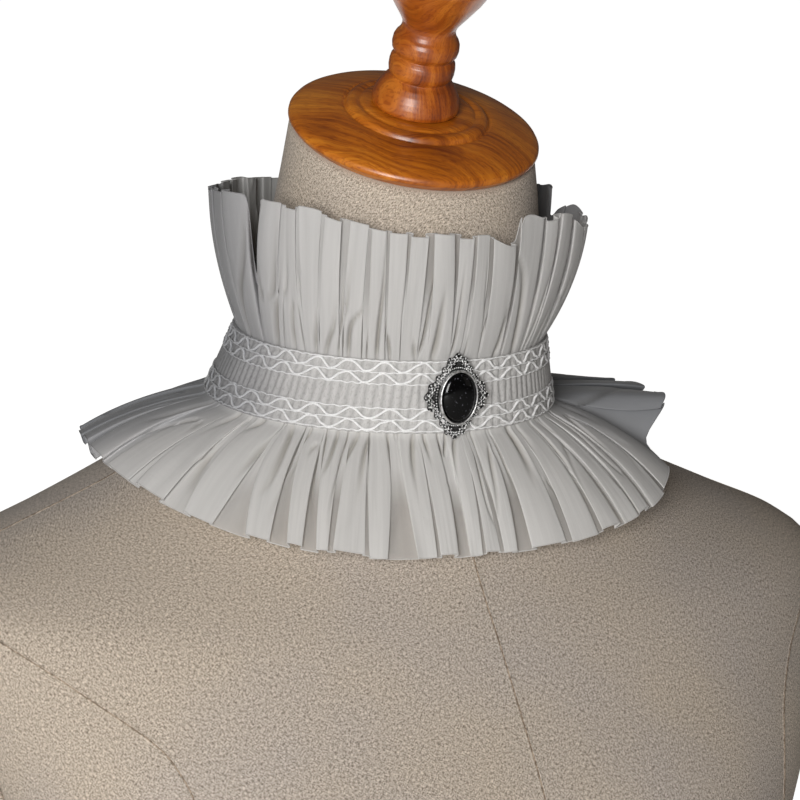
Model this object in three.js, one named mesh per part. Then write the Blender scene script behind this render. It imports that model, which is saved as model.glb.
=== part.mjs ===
// A gathered jabot collar with a smocked band and an oval brooch, worn on a linen-covered dress form.
// Millimetres, +Z up. The form faces -Y, and the origin is the middle of its flat underside.
import * as THREE from "three";

const TURN = 2 * Math.PI;
const DEGREE = Math.PI / 180;

// ---------------------------------------------------------------- driving dimensions
const COLLAR_SEAT = 270; // the underside of the form to the lower edge of the collar's band
const NECK_SETBACK = 20; // the neck's foot stands this far behind the middle of the underside
const GAP = 0.3; // between pieces at a seam or a seat
const RUFFLE_WALL = 1; // gathered cloth, one layer
const SEAM_DROP = 0.82; // from the band to the middle of the lower ruffle's wall, past the gap
const STEPS_PER_FOLD = 6;

const BAND = {
  height: 27,
  bottomRadius: 66.5,
  topRadius: 59,
  lean: 7.5, // the neck carries the top edge this far forward of the bottom one
  wall: 2,
  tucks: 118,
  tuckDepth: 0.5,
};

// ---------------------------------------------------------------- cloth: rim and hem
// One row for each stretch of an edge. angle runs round the neck in degrees: 0 is the form's left side,
// 90 its back, 180 its right side and 270 its front. depth is half of a fold's height, out and in.
const UPPER_EDGE = [
  { angle: 1, radius: 66.5, height: 40, depth: 2.5 },
  { angle: 3, radius: 66.5, height: 50, depth: 2.6 },
  { angle: 10, radius: 66.5, height: 50, depth: 2.6 },
  { angle: 18, radius: 66.5, height: 48.5, depth: 2.6 },
  { angle: 45, radius: 66, height: 46.5, depth: 2.4 },
  { angle: 90, radius: 66, height: 46, depth: 2.4 },
  { angle: 130, radius: 66, height: 48.5, depth: 2.5 },
  { angle: 150, radius: 67.5, height: 50, depth: 2.7 },
  { angle: 165, radius: 69, height: 52, depth: 2.8 },
  { angle: 182, radius: 68.5, height: 54, depth: 2.6 },
  { angle: 194, radius: 67, height: 54, depth: 2.2 },
  { angle: 203, radius: 66.5, height: 53.5, depth: 2.1 },
  { angle: 215, radius: 66.5, height: 53.5, depth: 2.1 },
  { angle: 227, radius: 66.5, height: 51.5, depth: 1.9 },
  { angle: 240, radius: 66, height: 48.5, depth: 1.9 },
  { angle: 262, radius: 66, height: 47, depth: 2 },
  { angle: 276, radius: 66, height: 46, depth: 2.1 },
  { angle: 286.5, radius: 66, height: 43, depth: 2.2 },
  { angle: 289.5, radius: 66, height: 52, depth: 2.2 },
  { angle: 299, radius: 67, height: 50.5, depth: 2.3 },
  { angle: 307, radius: 68.5, height: 51, depth: 2.4 },
  { angle: 314, radius: 69.5, height: 48.5, depth: 2.4 },
  { angle: 321, radius: 70.5, height: 44.5, depth: 2.5 },
  { angle: 335, radius: 70.5, height: 43, depth: 2.6 },
  { angle: 345, radius: 70.5, height: 44, depth: 2.6 },
  { angle: 353, radius: 70, height: 45.5, depth: 2.6 },
  { angle: 357.5, radius: 68, height: 43, depth: 2.6 },
];
const LOWER_EDGE = [
  { angle: 0, radius: 113.5, height: -4.5, depth: 3.4 },
  { angle: 10, radius: 112.5, height: -6.5, depth: 3.4 },
  { angle: 20, radius: 111.5, height: -9.5, depth: 3.5 },
  { angle: 45, radius: 108, height: -18, depth: 3.4 },
  { angle: 70, radius: 107, height: -25, depth: 3.2 },
  { angle: 100, radius: 107, height: -28, depth: 3.2 },
  { angle: 130, radius: 109, height: -28, depth: 3.2 },
  { angle: 150, radius: 111, height: -25, depth: 3.4 },
  { angle: 168, radius: 110.5, height: -20, depth: 3.4 },
  { angle: 185, radius: 110.5, height: -20, depth: 3.2 },
  { angle: 203, radius: 110, height: -25, depth: 3 },
  { angle: 225, radius: 107, height: -32, depth: 2.7 },
  { angle: 248, radius: 98, height: -37, depth: 2.3 },
  { angle: 270, radius: 93, height: -38, depth: 2.2 },
  { angle: 293, radius: 99, height: -36, depth: 2.3 },
  { angle: 315, radius: 108, height: -31, depth: 2.6 },
  { angle: 330, radius: 111.5, height: -24, depth: 2.8 },
  { angle: 338, radius: 110, height: -20.5, depth: 2.8 },
  { angle: 343, radius: 105, height: -14.5, depth: 2.8 },
  { angle: 348, radius: 113.5, height: -3, depth: 3 },
  { angle: 355, radius: 114, height: -4, depth: 3.2 },
];

// Where the crest of each fold lies on the edge, for the folds that were laid by hand. behind is how many
// more run evenly from the last of them to the first.
const UPPER_FOLDS = {
  laid: [
    { from: 181, to: 192 },
    { from: 201, to: 208.3 },
    { from: 208.7, to: 213.7 },
    { from: 214.2, to: 222.8 },
    { from: 223.2, to: 229.5 },
    { from: 231.3, to: 237.8 },
    { from: 238.2, to: 243.3 },
    { from: 243.7, to: 249.8 },
    { from: 250.2, to: 256.4 },
    { from: 257.1, to: 264.6 },
    { from: 265.4, to: 270.8 },
    { from: 271.2, to: 276.2 },
    { from: 277, to: 286.6 },
    { from: 287.6, to: 298.8 },
    { from: 299.4, to: 304.8 },
    { from: 305.4, to: 312.8 },
    { from: 313.4, to: 321.8 },
    { from: 322.6, to: 332.5 },
    { from: 333.5, to: 343.5 },
    { from: 344.5, to: 357 },
    { from: 362.6, to: 370.5 },
    { from: 371.5, to: 380 },
  ],
  behind: 17,
};
const LOWER_FOLDS = {
  laid: [
    { from: 172, to: 182 },
    { from: 183.3, to: 192.5 },
    { from: 193.5, to: 202.6 },
    { from: 207, to: 214.6 },
    { from: 220.5, to: 226 },
    { from: 228.7, to: 232 },
    { from: 234.3, to: 236.9 },
    { from: 237.3, to: 244.3 },
    { from: 244.7, to: 249 },
    { from: 255, to: 259.8 },
    { from: 260.2, to: 265 },
    { from: 267.3, to: 270.5 },
    { from: 271, to: 275 },
    { from: 275.5, to: 279 },
    { from: 281.8, to: 291.5 },
    { from: 292, to: 299.5 },
    { from: 300, to: 306 },
    { from: 306.5, to: 311 },
    { from: 311.5, to: 315.4 },
    { from: 316, to: 322.5 },
    { from: 323, to: 334 },
    { from: 345.5, to: 355.5 },
    { from: 358.5, to: 367.5 },
  ],
  behind: 18,
};

// ---------------------------------------------------------------- dress form
// Level sections, measured from the collar's seat. middle is where the section is widest, front and
// back are its depths from there, squareness 2 is an ellipse, and tilt leans a section forward.
const FORM_SECTIONS = [
  { z: -270, middle: 0, side: 127, front: 122, back: 82, squareness: 2.3, tilt: 0 },
  { z: -235, middle: 0, side: 134, front: 142, back: 89, squareness: 2.3, tilt: 0 },
  { z: -205, middle: 0, side: 140, front: 157, back: 94, squareness: 2.3, tilt: 0 },
  { z: -180, middle: 0, side: 146, front: 161, back: 98, squareness: 2.3, tilt: 0 },
  { z: -150, middle: 0, side: 162, front: 157, back: 102, squareness: 2.25, tilt: 0 },
  { z: -120, middle: 0, side: 175, front: 145, back: 103, squareness: 2.2, tilt: 0 },
  { z: -90, middle: 0, side: 185, front: 124, back: 102, squareness: 2.05, tilt: 0 },
  { z: -66, middle: 0, side: 188, front: 106, back: 99, squareness: 1.9, tilt: 0 },
  { z: -56, middle: 0, side: 176, front: 98, back: 97, squareness: 1.8, tilt: 0 },
  { z: -43, middle: 0, side: 145, front: 88, back: 92, squareness: 1.75, tilt: 0 },
  { z: -27, middle: 0, side: 108, front: 76, back: 84, squareness: 1.8, tilt: 0 },
  { z: -15, middle: 0, side: 85, front: 68.5, back: 73, squareness: 1.9, tilt: 0 },
  { z: -7, middle: 0, side: 69, front: 65, back: 66.5, squareness: 2, tilt: 0 },
  { z: 0, middle: 0, side: 63.4, front: 63.4, back: 63.4, squareness: 2, tilt: 0 },
  { z: 27, middle: -7.5, side: 56.1, front: 56.1, back: 56.1, squareness: 2, tilt: 0 },
  { z: 45, middle: -12, side: 53, front: 53, back: 53, squareness: 2, tilt: 0 },
  { z: 62, middle: -15.5, side: 50.6, front: 50.6, back: 50.6, squareness: 2, tilt: 3 },
  { z: 82, middle: -18.5, side: 48.2, front: 48.2, back: 48.2, squareness: 2, tilt: 10 },
  { z: 101, middle: -19.5, side: 45.8, front: 45.8, back: 45.8, squareness: 2, tilt: 17.5 },
];
const FORM_COLUMNS = 48;
const BUST = { z: -178, out: 74, high: 9, spread: 40, drop: 46 };
const ARMHOLE = { topZ: -58, bottomZ: -182, outerX: 186, atZ: -66, slope: 0.37 };
const ARM_PLATE = { z: -120, halfHeight: 57, halfDepth: 43, middleY: -8, thick: 3, bevel: 1 };

// ---------------------------------------------------------------- turned wood
// Profiles from the axis out and back: r is the radius and z the height on the turning axis.
const CAP_PROFILE = [
  { r: 0, z: GAP },
  { r: 44.6, z: GAP },
  { r: 45.2, z: 1.4 },
  { r: 46.4, z: 2.2 },
  { r: 46.8, z: 3.4 },
  { r: 46.2, z: 4.9 },
  { r: 41, z: 7.2 },
  { r: 33.4, z: 9.4 },
  { r: 26.2, z: 10.7 },
  { r: 25.4, z: 11.9 },
  { r: 23.2, z: 12.5 },
  { r: 19.2, z: 12.8 },
  { r: 0, z: 12.8 },
];
const FINIAL_PROFILE = [
  { r: 0, z: 12.8 + GAP },
  { r: 15.6, z: 12.8 + GAP },
  { r: 16.3, z: 14.6 },
  { r: 15.5, z: 18.6 },
  { r: 13.4, z: 22.2 },
  { r: 11.6, z: 24.4 },
  { r: 11.2, z: 25.2 },
  { r: 12, z: 27 },
  { r: 12, z: 31.2 },
  { r: 10.9, z: 33.4 },
  { r: 12.1, z: 35.4 },
  { r: 12.2, z: 39.6 },
  { r: 10.6, z: 42.2 },
  { r: 9.9, z: 44.5 },
  { r: 11.2, z: 48 },
  { r: 14, z: 52 },
  { r: 17.6, z: 57.4 },
  { r: 21, z: 64 },
  { r: 22.4, z: 71 },
  { r: 20.4, z: 79 },
  { r: 14.4, z: 86 },
  { r: 7, z: 89.8 },
  { r: 5.4, z: 91 },
  { r: 6, z: 93.6 },
  { r: 4, z: 96.6 },
  { r: 0, z: 97.6 },
];
const FINIAL_OFFSET = -1.5; // it is screwed in a little to one side of the cap's middle
const LATHE_SIDES = 36;

// ---------------------------------------------------------------- brooch
const BROOCH = {
  angle: 269.5, // where it is pinned on the band
  z: 14,
  standOff: 0.9, // room for the pin between the setting and the tucks
  halfWidth: 9, // the oval that the scrolls stand on
  halfHeight: 12,
  sidePoint: 3.2, // how far the four points reach beyond it
  endPoint: 3.4,
  scallops: 20,
  scallopDepth: 0.55,
  plate: 1.4,
  bezelWall: 0.8,
  bezelHeight: 2.2,
  stoneHalfWidth: 6.5,
  stoneHalfHeight: 9,
  stoneDome: 3.2,
};

// ---------------------------------------------------------------- helpers
// A smooth value of one column of a table between its rows, which are in order of key.
function between(rows, key, name, at) {
  const last = rows.length - 1;
  let i = 0;
  while (i < last - 1 && at > rows[i + 1][key]) i++;
  const slope = (j) => {
    const a = rows[Math.max(j - 1, 0)];
    const b = rows[Math.min(j + 1, last)];
    return (b[name] - a[name]) / (b[key] - a[key]);
  };
  const run = rows[i + 1][key] - rows[i][key];
  const t = (at - rows[i][key]) / run;
  const rest = 1 - t;
  return (
    rows[i][name] * rest * rest * (1 + 2 * t) +
    rows[i + 1][name] * t * t * (3 - 2 * t) +
    run * t * rest * (slope(i) * rest - slope(i + 1) * t)
  );
}

// The same for a table that runs round the neck by angle.
function around(rows, name, angle) {
  const shifted = (row, turns) => ({ ...row, angle: row.angle + 360 * turns });
  const ring = [
    ...rows.slice(-2).map((row) => shifted(row, -1)),
    ...rows,
    ...rows.slice(0, 2).map((row) => shifted(row, 1)),
  ];
  return between(ring, "angle", name, ((angle % 360) + 360) % 360);
}

// A closed body between two grids of points, grid[row][column], that both close round a hollow.
function wallBetween(outer, inner) {
  const rows = outer.length;
  const columns = outer[0].length;
  const positions = [...outer, ...inner].flat().flatMap((p) => [p.x, p.y, p.z]);
  const index = [];
  const at = (side, row, column) => (side * rows + row) * columns + (column % columns);
  const quad = (a, b, c, d) => index.push(a, b, c, a, c, d);
  for (let c = 0; c < columns; c++) {
    for (let r = 0; r < rows - 1; r++) {
      quad(at(0, r, c), at(0, r, c + 1), at(0, r + 1, c + 1), at(0, r + 1, c));
      quad(at(1, r, c), at(1, r + 1, c), at(1, r + 1, c + 1), at(1, r, c + 1));
    }
    quad(at(0, 0, c), at(1, 0, c), at(1, 0, c + 1), at(0, 0, c + 1));
    const top = rows - 1;
    quad(at(0, top, c), at(0, top, c + 1), at(1, top, c + 1), at(1, top, c));
  }
  return bodyOf(positions, index);
}

// A closed body from a stack of rings, with a flat face at each end.
function stackOf(rings) {
  const columns = rings[0].length;
  const positions = rings.flat().flatMap((p) => [p.x, p.y, p.z]);
  const index = [];
  const at = (row, column) => row * columns + (column % columns);
  for (let r = 0; r < rings.length - 1; r++)
    for (let c = 0; c < columns; c++) {
      index.push(at(r, c), at(r, c + 1), at(r + 1, c + 1));
      index.push(at(r, c), at(r + 1, c + 1), at(r + 1, c));
    }
  [0, rings.length - 1].forEach((row) => {
    const middle = positions.length / 3;
    const sum = rings[row].reduce((a, p) => a.add(p), new THREE.Vector3());
    sum.divideScalar(columns);
    positions.push(sum.x, sum.y, sum.z);
    for (let c = 0; c < columns; c++)
      if (row === 0) index.push(middle, at(row, c + 1), at(row, c));
      else index.push(middle, at(row, c), at(row, c + 1));
  });
  return bodyOf(positions, index);
}

function bodyOf(positions, index) {
  const geometry = new THREE.BufferGeometry();
  geometry.setAttribute("position", new THREE.Float32BufferAttribute(positions, 3));
  geometry.setIndex(index);
  geometry.computeVertexNormals();
  return geometry;
}

function finish(color, roughness, metalness = 0) {
  return new THREE.MeshStandardMaterial({ color, roughness, metalness });
}

const ORGANZA = finish(0xc9c7c4, 0.6);
const LINEN = finish(0xb3a590, 0.95);
const WOOD = finish(0x9c5a22, 0.35);
const SILVER = finish(0x8d8d8d, 0.35, 1);
const JET = finish(0x060606, 0.1);

function piece(name, geometry, material) {
  const mesh = new THREE.Mesh(geometry, material);
  mesh.name = name;
  return mesh;
}

// ---------------------------------------------------------------- ruffles
// All the folds of a ruffle, as a table that runs round it: at each crest and each valley, shift is how far
// the fold lies from where an even spacing would put it.
const BACK_SHARE = { from: 0.1, to: 0.9, sway: 0.06, step: 2.4, lag: 1.7 };

function foldShifts({ laid, behind }) {
  const start = laid[laid.length - 1].to;
  const width = (laid[0].from + 360 - start) / behind;
  const even = Array.from({ length: behind }, (_, i) => ({
    from: start + width * (i + BACK_SHARE.from + BACK_SHARE.sway * Math.sin(BACK_SHARE.step * i)),
    to: start + width * (i + BACK_SHARE.to + BACK_SHARE.sway * Math.sin(BACK_SHARE.step * i + BACK_SHARE.lag)),
  }));
  const folds = [...laid, ...even];
  const rows = folds.flatMap(({ from, to }, i) => {
    const next = i + 1 < folds.length ? folds[i + 1].from : folds[0].from + 360;
    return [
      { angle: (360 * (i + 0.25)) / folds.length, place: (from + to) / 2 },
      { angle: (360 * (i + 0.75)) / folds.length, place: (to + next) / 2 },
    ];
  });
  rows.forEach((row) => (row.shift = row.place - row.angle));
  return { count: folds.length, rows, mean: rows.reduce((sum, row) => sum + row.shift, 0) / rows.length };
}

function unevenDepth(turn) {
  return 1 + 0.24 * Math.sin(TURN * 7 * turn + 1.3) + 0.16 * Math.sin(TURN * 13 * turn + 0.4);
}

function unevenLean(turn) {
  return 0.5 * Math.sin(TURN * 4 * turn + 0.9) + 0.4 * Math.sin(TURN * 11 * turn + 2.6);
}

// A fold goes out, along and back: flat-topped, and wider at its crest than at its neck.
const CREST_SWELL = 0.05; // of a fold's width, each way
const FOLD_LEAN = 0.3;

const SEAM_KEEP = 0.75; // how much of its shift a fold keeps at the seam

// turn is the place round the cloth, from 0 to 1, and reach runs from the seam, 0, to the edge, 1.
// smooth(angle, reach) is the cloth without folds: its point, the way out of it and its fold depth.
function foldedPoint(smooth, folds, turn, reach) {
  const phase = TURN * folds.count * turn;
  const shift = around(folds.rows, "shift", 360 * turn) - folds.mean;
  const angle = 360 * turn + folds.mean + shift * (SEAM_KEEP + (1 - SEAM_KEEP) * reach);
  const { point, out, depth } = smooth(angle, reach);
  const grown = 0.1 + 0.9 * Math.sin((reach * Math.PI) / 2);
  const rise = depth * grown * unevenDepth(turn) * Math.tanh(1.6 * Math.sin(phase));
  const along = new THREE.Vector3(-Math.sin(angle * DEGREE), Math.cos(angle * DEGREE), 0);
  const pitch = (TURN * Math.hypot(point.x, point.y)) / folds.count;
  const slide = reach * (FOLD_LEAN * unevenLean(turn) * rise - CREST_SWELL * pitch * Math.sin(2 * phase));
  return point.clone().addScaledVector(out, rise).addScaledVector(along, slide);
}

function upperSmooth(angle, reach) {
  const rim = around(UPPER_EDGE, "radius", angle);
  const height = around(UPPER_EDGE, "height", angle);
  const depth = around(UPPER_EDGE, "depth", angle);
  const bowl = 0.25 * reach + 0.75 * (1 - (1 - reach) ** 2);
  const start = BAND.topRadius - BAND.wall / 2;
  const radius = start + (rim - start) * bowl;
  const c = Math.cos(angle * DEGREE);
  const s = Math.sin(angle * DEGREE);
  const point = new THREE.Vector3(radius * c, radius * s - BAND.lean, BAND.height + GAP + height * reach);
  return { point, out: new THREE.Vector3(c, s, -0.25).normalize(), depth };
}

function lowerSmooth(angle, reach) {
  const hem = around(LOWER_EDGE, "radius", angle);
  const height = around(LOWER_EDGE, "height", angle);
  const depth = around(LOWER_EDGE, "depth", angle);
  const start = BAND.bottomRadius - BAND.wall / 2;
  const radius = start + (hem - start) * (1.12 * reach - 0.12 * reach * reach);
  const drop = height * (0.72 * reach + 0.28 * reach * reach);
  const c = Math.cos(angle * DEGREE);
  const s = Math.sin(angle * DEGREE);
  const point = new THREE.Vector3(radius * c, radius * s, drop - GAP - SEAM_DROP);
  const run = hem - start;
  const long = Math.hypot(run, height);
  return { point, out: new THREE.Vector3((-height / long) * c, (-height / long) * s, run / long), depth };
}

// The ruffle's wall: each point of the folded sheet is moved half the wall out and half in.
function ruffle(smooth, table, reaches) {
  const folds = foldShifts(table);
  const columns = folds.count * STEPS_PER_FOLD;
  const nudge = 1 / (4 * columns);
  const outer = [];
  const inner = [];
  reaches.forEach((reach) => {
    const outerRow = [];
    const innerRow = [];
    for (let c = 0; c < columns; c++) {
      const turn = c / columns;
      const before = foldedPoint(smooth, folds, turn - nudge, reach);
      const after = foldedPoint(smooth, folds, turn + nudge, reach);
      const lower = foldedPoint(smooth, folds, turn, reach - 0.01);
      const upper = foldedPoint(smooth, folds, turn, reach + 0.01);
      const normal = after.sub(before).cross(upper.sub(lower)).normalize();
      const point = foldedPoint(smooth, folds, turn, reach);
      outerRow.push(point.clone().addScaledVector(normal, RUFFLE_WALL / 2));
      innerRow.push(point.clone().addScaledVector(normal, -RUFFLE_WALL / 2));
    }
    outer.push(outerRow);
    inner.push(innerRow);
  });
  return wallBetween(outer, inner);
}

// ---------------------------------------------------------------- smocked band
// Small upright tucks are raised on the outside of a plain ring.
function smockedBand() {
  const columns = 2 * BAND.tucks;
  const ring = (share, inset, tuck) =>
    Array.from({ length: columns }, (_, c) => {
      const angle = (TURN * c) / columns;
      const cone = BAND.bottomRadius + (BAND.topRadius - BAND.bottomRadius) * share;
      const radius = cone - inset - (c % 2 ? 0 : tuck);
      const forward = BAND.lean * share;
      return new THREE.Vector3(
        radius * Math.cos(angle),
        radius * Math.sin(angle) - forward,
        BAND.height * share,
      );
    });
  const outer = [0, 1].map((share) => ring(share, 0, BAND.tuckDepth));
  const inner = [0, 1].map((share) => ring(share, BAND.wall + BAND.tuckDepth, 0));
  return wallBetween(outer, inner);
}

// ---------------------------------------------------------------- dress form
function plateX(z) {
  return ARMHOLE.outerX - (ARMHOLE.atZ - z) * ARMHOLE.slope;
}

function formRing(z) {
  const value = (name) => between(FORM_SECTIONS, "z", name, z);
  const [middle, side, front, back] = ["middle", "side", "front", "back"].map(value);
  const power = 2 / value("squareness");
  const lean = value("tilt") * DEGREE;
  const inArmhole = z < ARMHOLE.topZ && z > ARMHOLE.bottomZ;
  return Array.from({ length: FORM_COLUMNS }, (_, c) => {
    const angle = (TURN * c) / FORM_COLUMNS;
    const across = Math.sign(Math.cos(angle)) * Math.abs(Math.cos(angle)) ** power;
    const ahead = Math.sign(Math.sin(angle)) * Math.abs(Math.sin(angle)) ** power;
    let x = side * across;
    if (inArmhole) x = THREE.MathUtils.clamp(x, -plateX(z), plateX(z));
    let y = (ahead < 0 ? front : back) * ahead;
    if (ahead < 0) {
      const aside = (Math.abs(x) - BUST.out) / BUST.spread;
      const above = (z - BUST.z) / BUST.drop;
      y -= BUST.high * Math.exp(-aside * aside - above * above);
    }
    return new THREE.Vector3(x, middle + y * Math.cos(lean), z + y * Math.sin(lean));
  });
}

function dressForm() {
  const levels = [];
  for (let i = 0; i < FORM_SECTIONS.length - 1; i++) {
    const a = FORM_SECTIONS[i].z;
    const b = FORM_SECTIONS[i + 1].z;
    levels.push(a);
    if (b - a > 16) levels.push((a + b) / 2);
  }
  levels.push(FORM_SECTIONS[FORM_SECTIONS.length - 1].z);
  return stackOf(levels.map(formRing));
}

// A shallow oval pad that closes an armhole, on the plane of the cut.
function armPlate(side) {
  const outline = new THREE.Shape();
  outline.absellipse(0, 0, ARM_PLATE.halfDepth, ARM_PLATE.halfHeight, 0, TURN);
  const geometry = new THREE.ExtrudeGeometry(outline, {
    depth: ARM_PLATE.thick - ARM_PLATE.bevel,
    bevelEnabled: true,
    bevelThickness: ARM_PLATE.bevel,
    bevelSize: ARM_PLATE.bevel,
    bevelOffset: -ARM_PLATE.bevel,
    bevelSegments: 1,
    curveSegments: 14,
  });
  geometry.translate(0, 0, ARM_PLATE.bevel + GAP);
  const lean = Math.atan(ARMHOLE.slope);
  const turned = new THREE.Matrix4().makeBasis(
    new THREE.Vector3(0, side, 0),
    new THREE.Vector3(side * Math.sin(lean), 0, Math.cos(lean)),
    new THREE.Vector3(side * Math.cos(lean), 0, -Math.sin(lean)),
  );
  const mesh = piece(side > 0 ? "arm_plate_left" : "arm_plate_right", geometry, LINEN);
  mesh.applyMatrix4(turned);
  mesh.position.set(side * plateX(ARM_PLATE.z), ARM_PLATE.middleY, ARM_PLATE.z);
  return mesh;
}

// ---------------------------------------------------------------- turned wood
function turned(profile) {
  const points = profile.map(({ r, z }) => new THREE.Vector2(r, z));
  const geometry = new THREE.LatheGeometry(points, LATHE_SIDES);
  return geometry.rotateX(Math.PI / 2);
}

// ---------------------------------------------------------------- brooch
// The setting's outline: an oval of small scallops that runs out to four points.
function settingOutline() {
  const steps = BROOCH.scallops * 4;
  const points = Array.from({ length: steps }, (_, i) => {
    const a = (TURN * i) / steps;
    const point = BROOCH.sidePoint * Math.abs(Math.cos(a)) ** 9 + BROOCH.endPoint * Math.abs(Math.sin(a)) ** 9;
    const wave = BROOCH.scallopDepth * Math.cos(BROOCH.scallops * a);
    const x = (BROOCH.halfWidth + point + wave) * Math.cos(a);
    return new THREE.Vector2(x, (BROOCH.halfHeight + point + wave) * Math.sin(a));
  });
  return new THREE.Shape(points);
}

function broochPieces() {
  const group = new THREE.Group();
  const plate = new THREE.ExtrudeGeometry(settingOutline(), { depth: BROOCH.plate, bevelEnabled: false });
  group.add(piece("brooch_setting", plate, SILVER));

  const rim = new THREE.Shape();
  const outX = BROOCH.stoneHalfWidth + GAP + BROOCH.bezelWall;
  const outY = BROOCH.stoneHalfHeight + GAP + BROOCH.bezelWall;
  rim.absellipse(0, 0, outX, outY, 0, TURN);
  const hole = new THREE.Path();
  hole.absellipse(0, 0, outX - BROOCH.bezelWall, outY - BROOCH.bezelWall, 0, TURN, true);
  rim.holes.push(hole);
  const bezel = new THREE.ExtrudeGeometry(rim, { depth: BROOCH.bezelHeight, bevelEnabled: false, curveSegments: 10 });
  bezel.translate(0, 0, BROOCH.plate + GAP);
  group.add(piece("brooch_bezel", bezel, SILVER));

  const dome = [{ share: 1, z: 0 }, { share: 1, z: 0.3 }, { share: 0.9, z: 0.62 }, { share: 0.66, z: 0.86 }, { share: 0.34, z: 0.97 }];
  const rings = dome.map(({ share, z }) =>
    Array.from({ length: 32 }, (_, i) => {
      const a = (TURN * i) / 32;
      const x = BROOCH.stoneHalfWidth * share * Math.cos(a);
      return new THREE.Vector3(x, BROOCH.stoneHalfHeight * share * Math.sin(a), BROOCH.stoneDome * z);
    }),
  );
  const stone = stackOf(rings);
  stone.translate(0, 0, BROOCH.plate + GAP);
  group.add(piece("brooch_stone", stone, JET));
  return group;
}

// The brooch stands upright against the outermost tucks of the band.
function pinBrooch(group) {
  const share = BROOCH.z / BAND.height;
  const angle = BROOCH.angle * DEGREE;
  const radius = BAND.bottomRadius + (BAND.topRadius - BAND.bottomRadius) * share + GAP + BROOCH.standOff;
  group.position.set(radius * Math.cos(angle), radius * Math.sin(angle) - BAND.lean * share, BROOCH.z);
  group.rotation.order = "ZYX";
  group.rotation.set(Math.PI / 2, 0, angle + Math.PI / 2);
  return group;
}

// ---------------------------------------------------------------- assembly
const form = new THREE.Group();
form.add(piece("dress_form", dressForm(), LINEN));
form.add(armPlate(1), armPlate(-1));

const top = FORM_SECTIONS[FORM_SECTIONS.length - 1];
const crown = new THREE.Group();
crown.position.set(0, top.middle, top.z);
crown.rotation.x = top.tilt * DEGREE;
crown.add(piece("neck_cap", turned(CAP_PROFILE), WOOD));
const finial = piece("finial", turned(FINIAL_PROFILE), WOOD);
finial.position.x = FINIAL_OFFSET;
crown.add(finial);
form.add(crown);

const collar = new THREE.Group();
collar.add(piece("neck_band", smockedBand(), ORGANZA));
collar.add(piece("upper_ruffle", ruffle(upperSmooth, UPPER_FOLDS, [0.012, 0.3, 0.65, 1]), ORGANZA));
collar.add(piece("lower_ruffle", ruffle(lowerSmooth, LOWER_FOLDS, [0.02, 0.32, 0.68, 1]), ORGANZA));
collar.add(pinBrooch(broochPieces()));

const jabotOnForm = new THREE.Group();
form.position.set(0, NECK_SETBACK, COLLAR_SEAT);
collar.position.copy(form.position);
jabotOnForm.add(form, collar);

export default jabotOnForm;
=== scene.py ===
"""Looks of a gathered jabot collar with a smocked band and a brooch, on a linen dress form.

Everything is in metres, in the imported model's frame: +Z up, and the form faces -Y.
"""
import math

import bpy
import numpy as np
from mathutils import Matrix, Vector


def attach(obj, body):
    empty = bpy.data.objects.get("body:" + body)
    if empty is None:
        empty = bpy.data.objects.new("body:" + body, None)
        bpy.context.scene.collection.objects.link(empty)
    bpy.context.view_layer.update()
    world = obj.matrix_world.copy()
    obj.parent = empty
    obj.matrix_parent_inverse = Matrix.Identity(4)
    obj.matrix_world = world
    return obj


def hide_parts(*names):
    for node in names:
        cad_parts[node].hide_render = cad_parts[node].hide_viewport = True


MM = 0.001
TURN = 2 * math.pi
BODY = "root"


def table(names, *rows):
    """A table's columns by their names, from its rows."""
    return dict(zip(names.split(), np.array(rows, float).T))


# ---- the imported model
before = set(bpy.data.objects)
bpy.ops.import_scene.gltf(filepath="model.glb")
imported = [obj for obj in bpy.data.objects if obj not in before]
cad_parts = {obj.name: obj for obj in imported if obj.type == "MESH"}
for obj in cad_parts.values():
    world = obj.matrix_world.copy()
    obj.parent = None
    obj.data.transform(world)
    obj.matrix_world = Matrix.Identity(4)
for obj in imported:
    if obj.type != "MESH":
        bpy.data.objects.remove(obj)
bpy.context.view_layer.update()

# ---- sizes, in millimetres
SEAT = np.array([0.0, 20.0, 270.0])  # middle of the band's lower edge
GAP = 0.3
CLOTH = 0.2  # how thick the organza looks at a hem

GIRTH = TURN * 62.7  # round the middle of the band
BAND = dict(height=27, bottom=66.5, top=59, lean=7.5, wall=2, tucks=118, tuck_depth=0.6)

UPPER_EDGE = table(
    "angle radius height depth",
    (1, 66.5, 40, 2.5), (3, 66.5, 50, 2.6), (10, 66.5, 50, 2.6), (18, 66.5, 48.5, 2.6),
    (45, 66, 46.5, 2.4), (90, 66, 46, 2.4), (130, 66, 48.5, 2.5), (150, 67.5, 50, 2.7),
    (165, 69, 52, 2.8), (182, 68.5, 54, 2.6), (194, 67, 54, 2.2), (203, 66.5, 53.5, 2.1),
    (215, 66.5, 53.5, 2.1), (227, 66.5, 51.5, 1.9), (240, 66, 48.5, 1.9), (262, 66, 47, 2),
    (276, 66, 46, 2.1), (286.5, 66, 43, 2.2), (289.5, 66, 52, 2.2), (299, 67, 50.5, 2.3),
    (307, 68.5, 51, 2.4), (314, 69.5, 48.5, 2.4), (321, 70.5, 44.5, 2.5), (335, 70.5, 43, 2.6),
    (345, 70.5, 44, 2.6), (353, 70, 45.5, 2.6), (357.5, 68, 43, 2.6),
)
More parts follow.
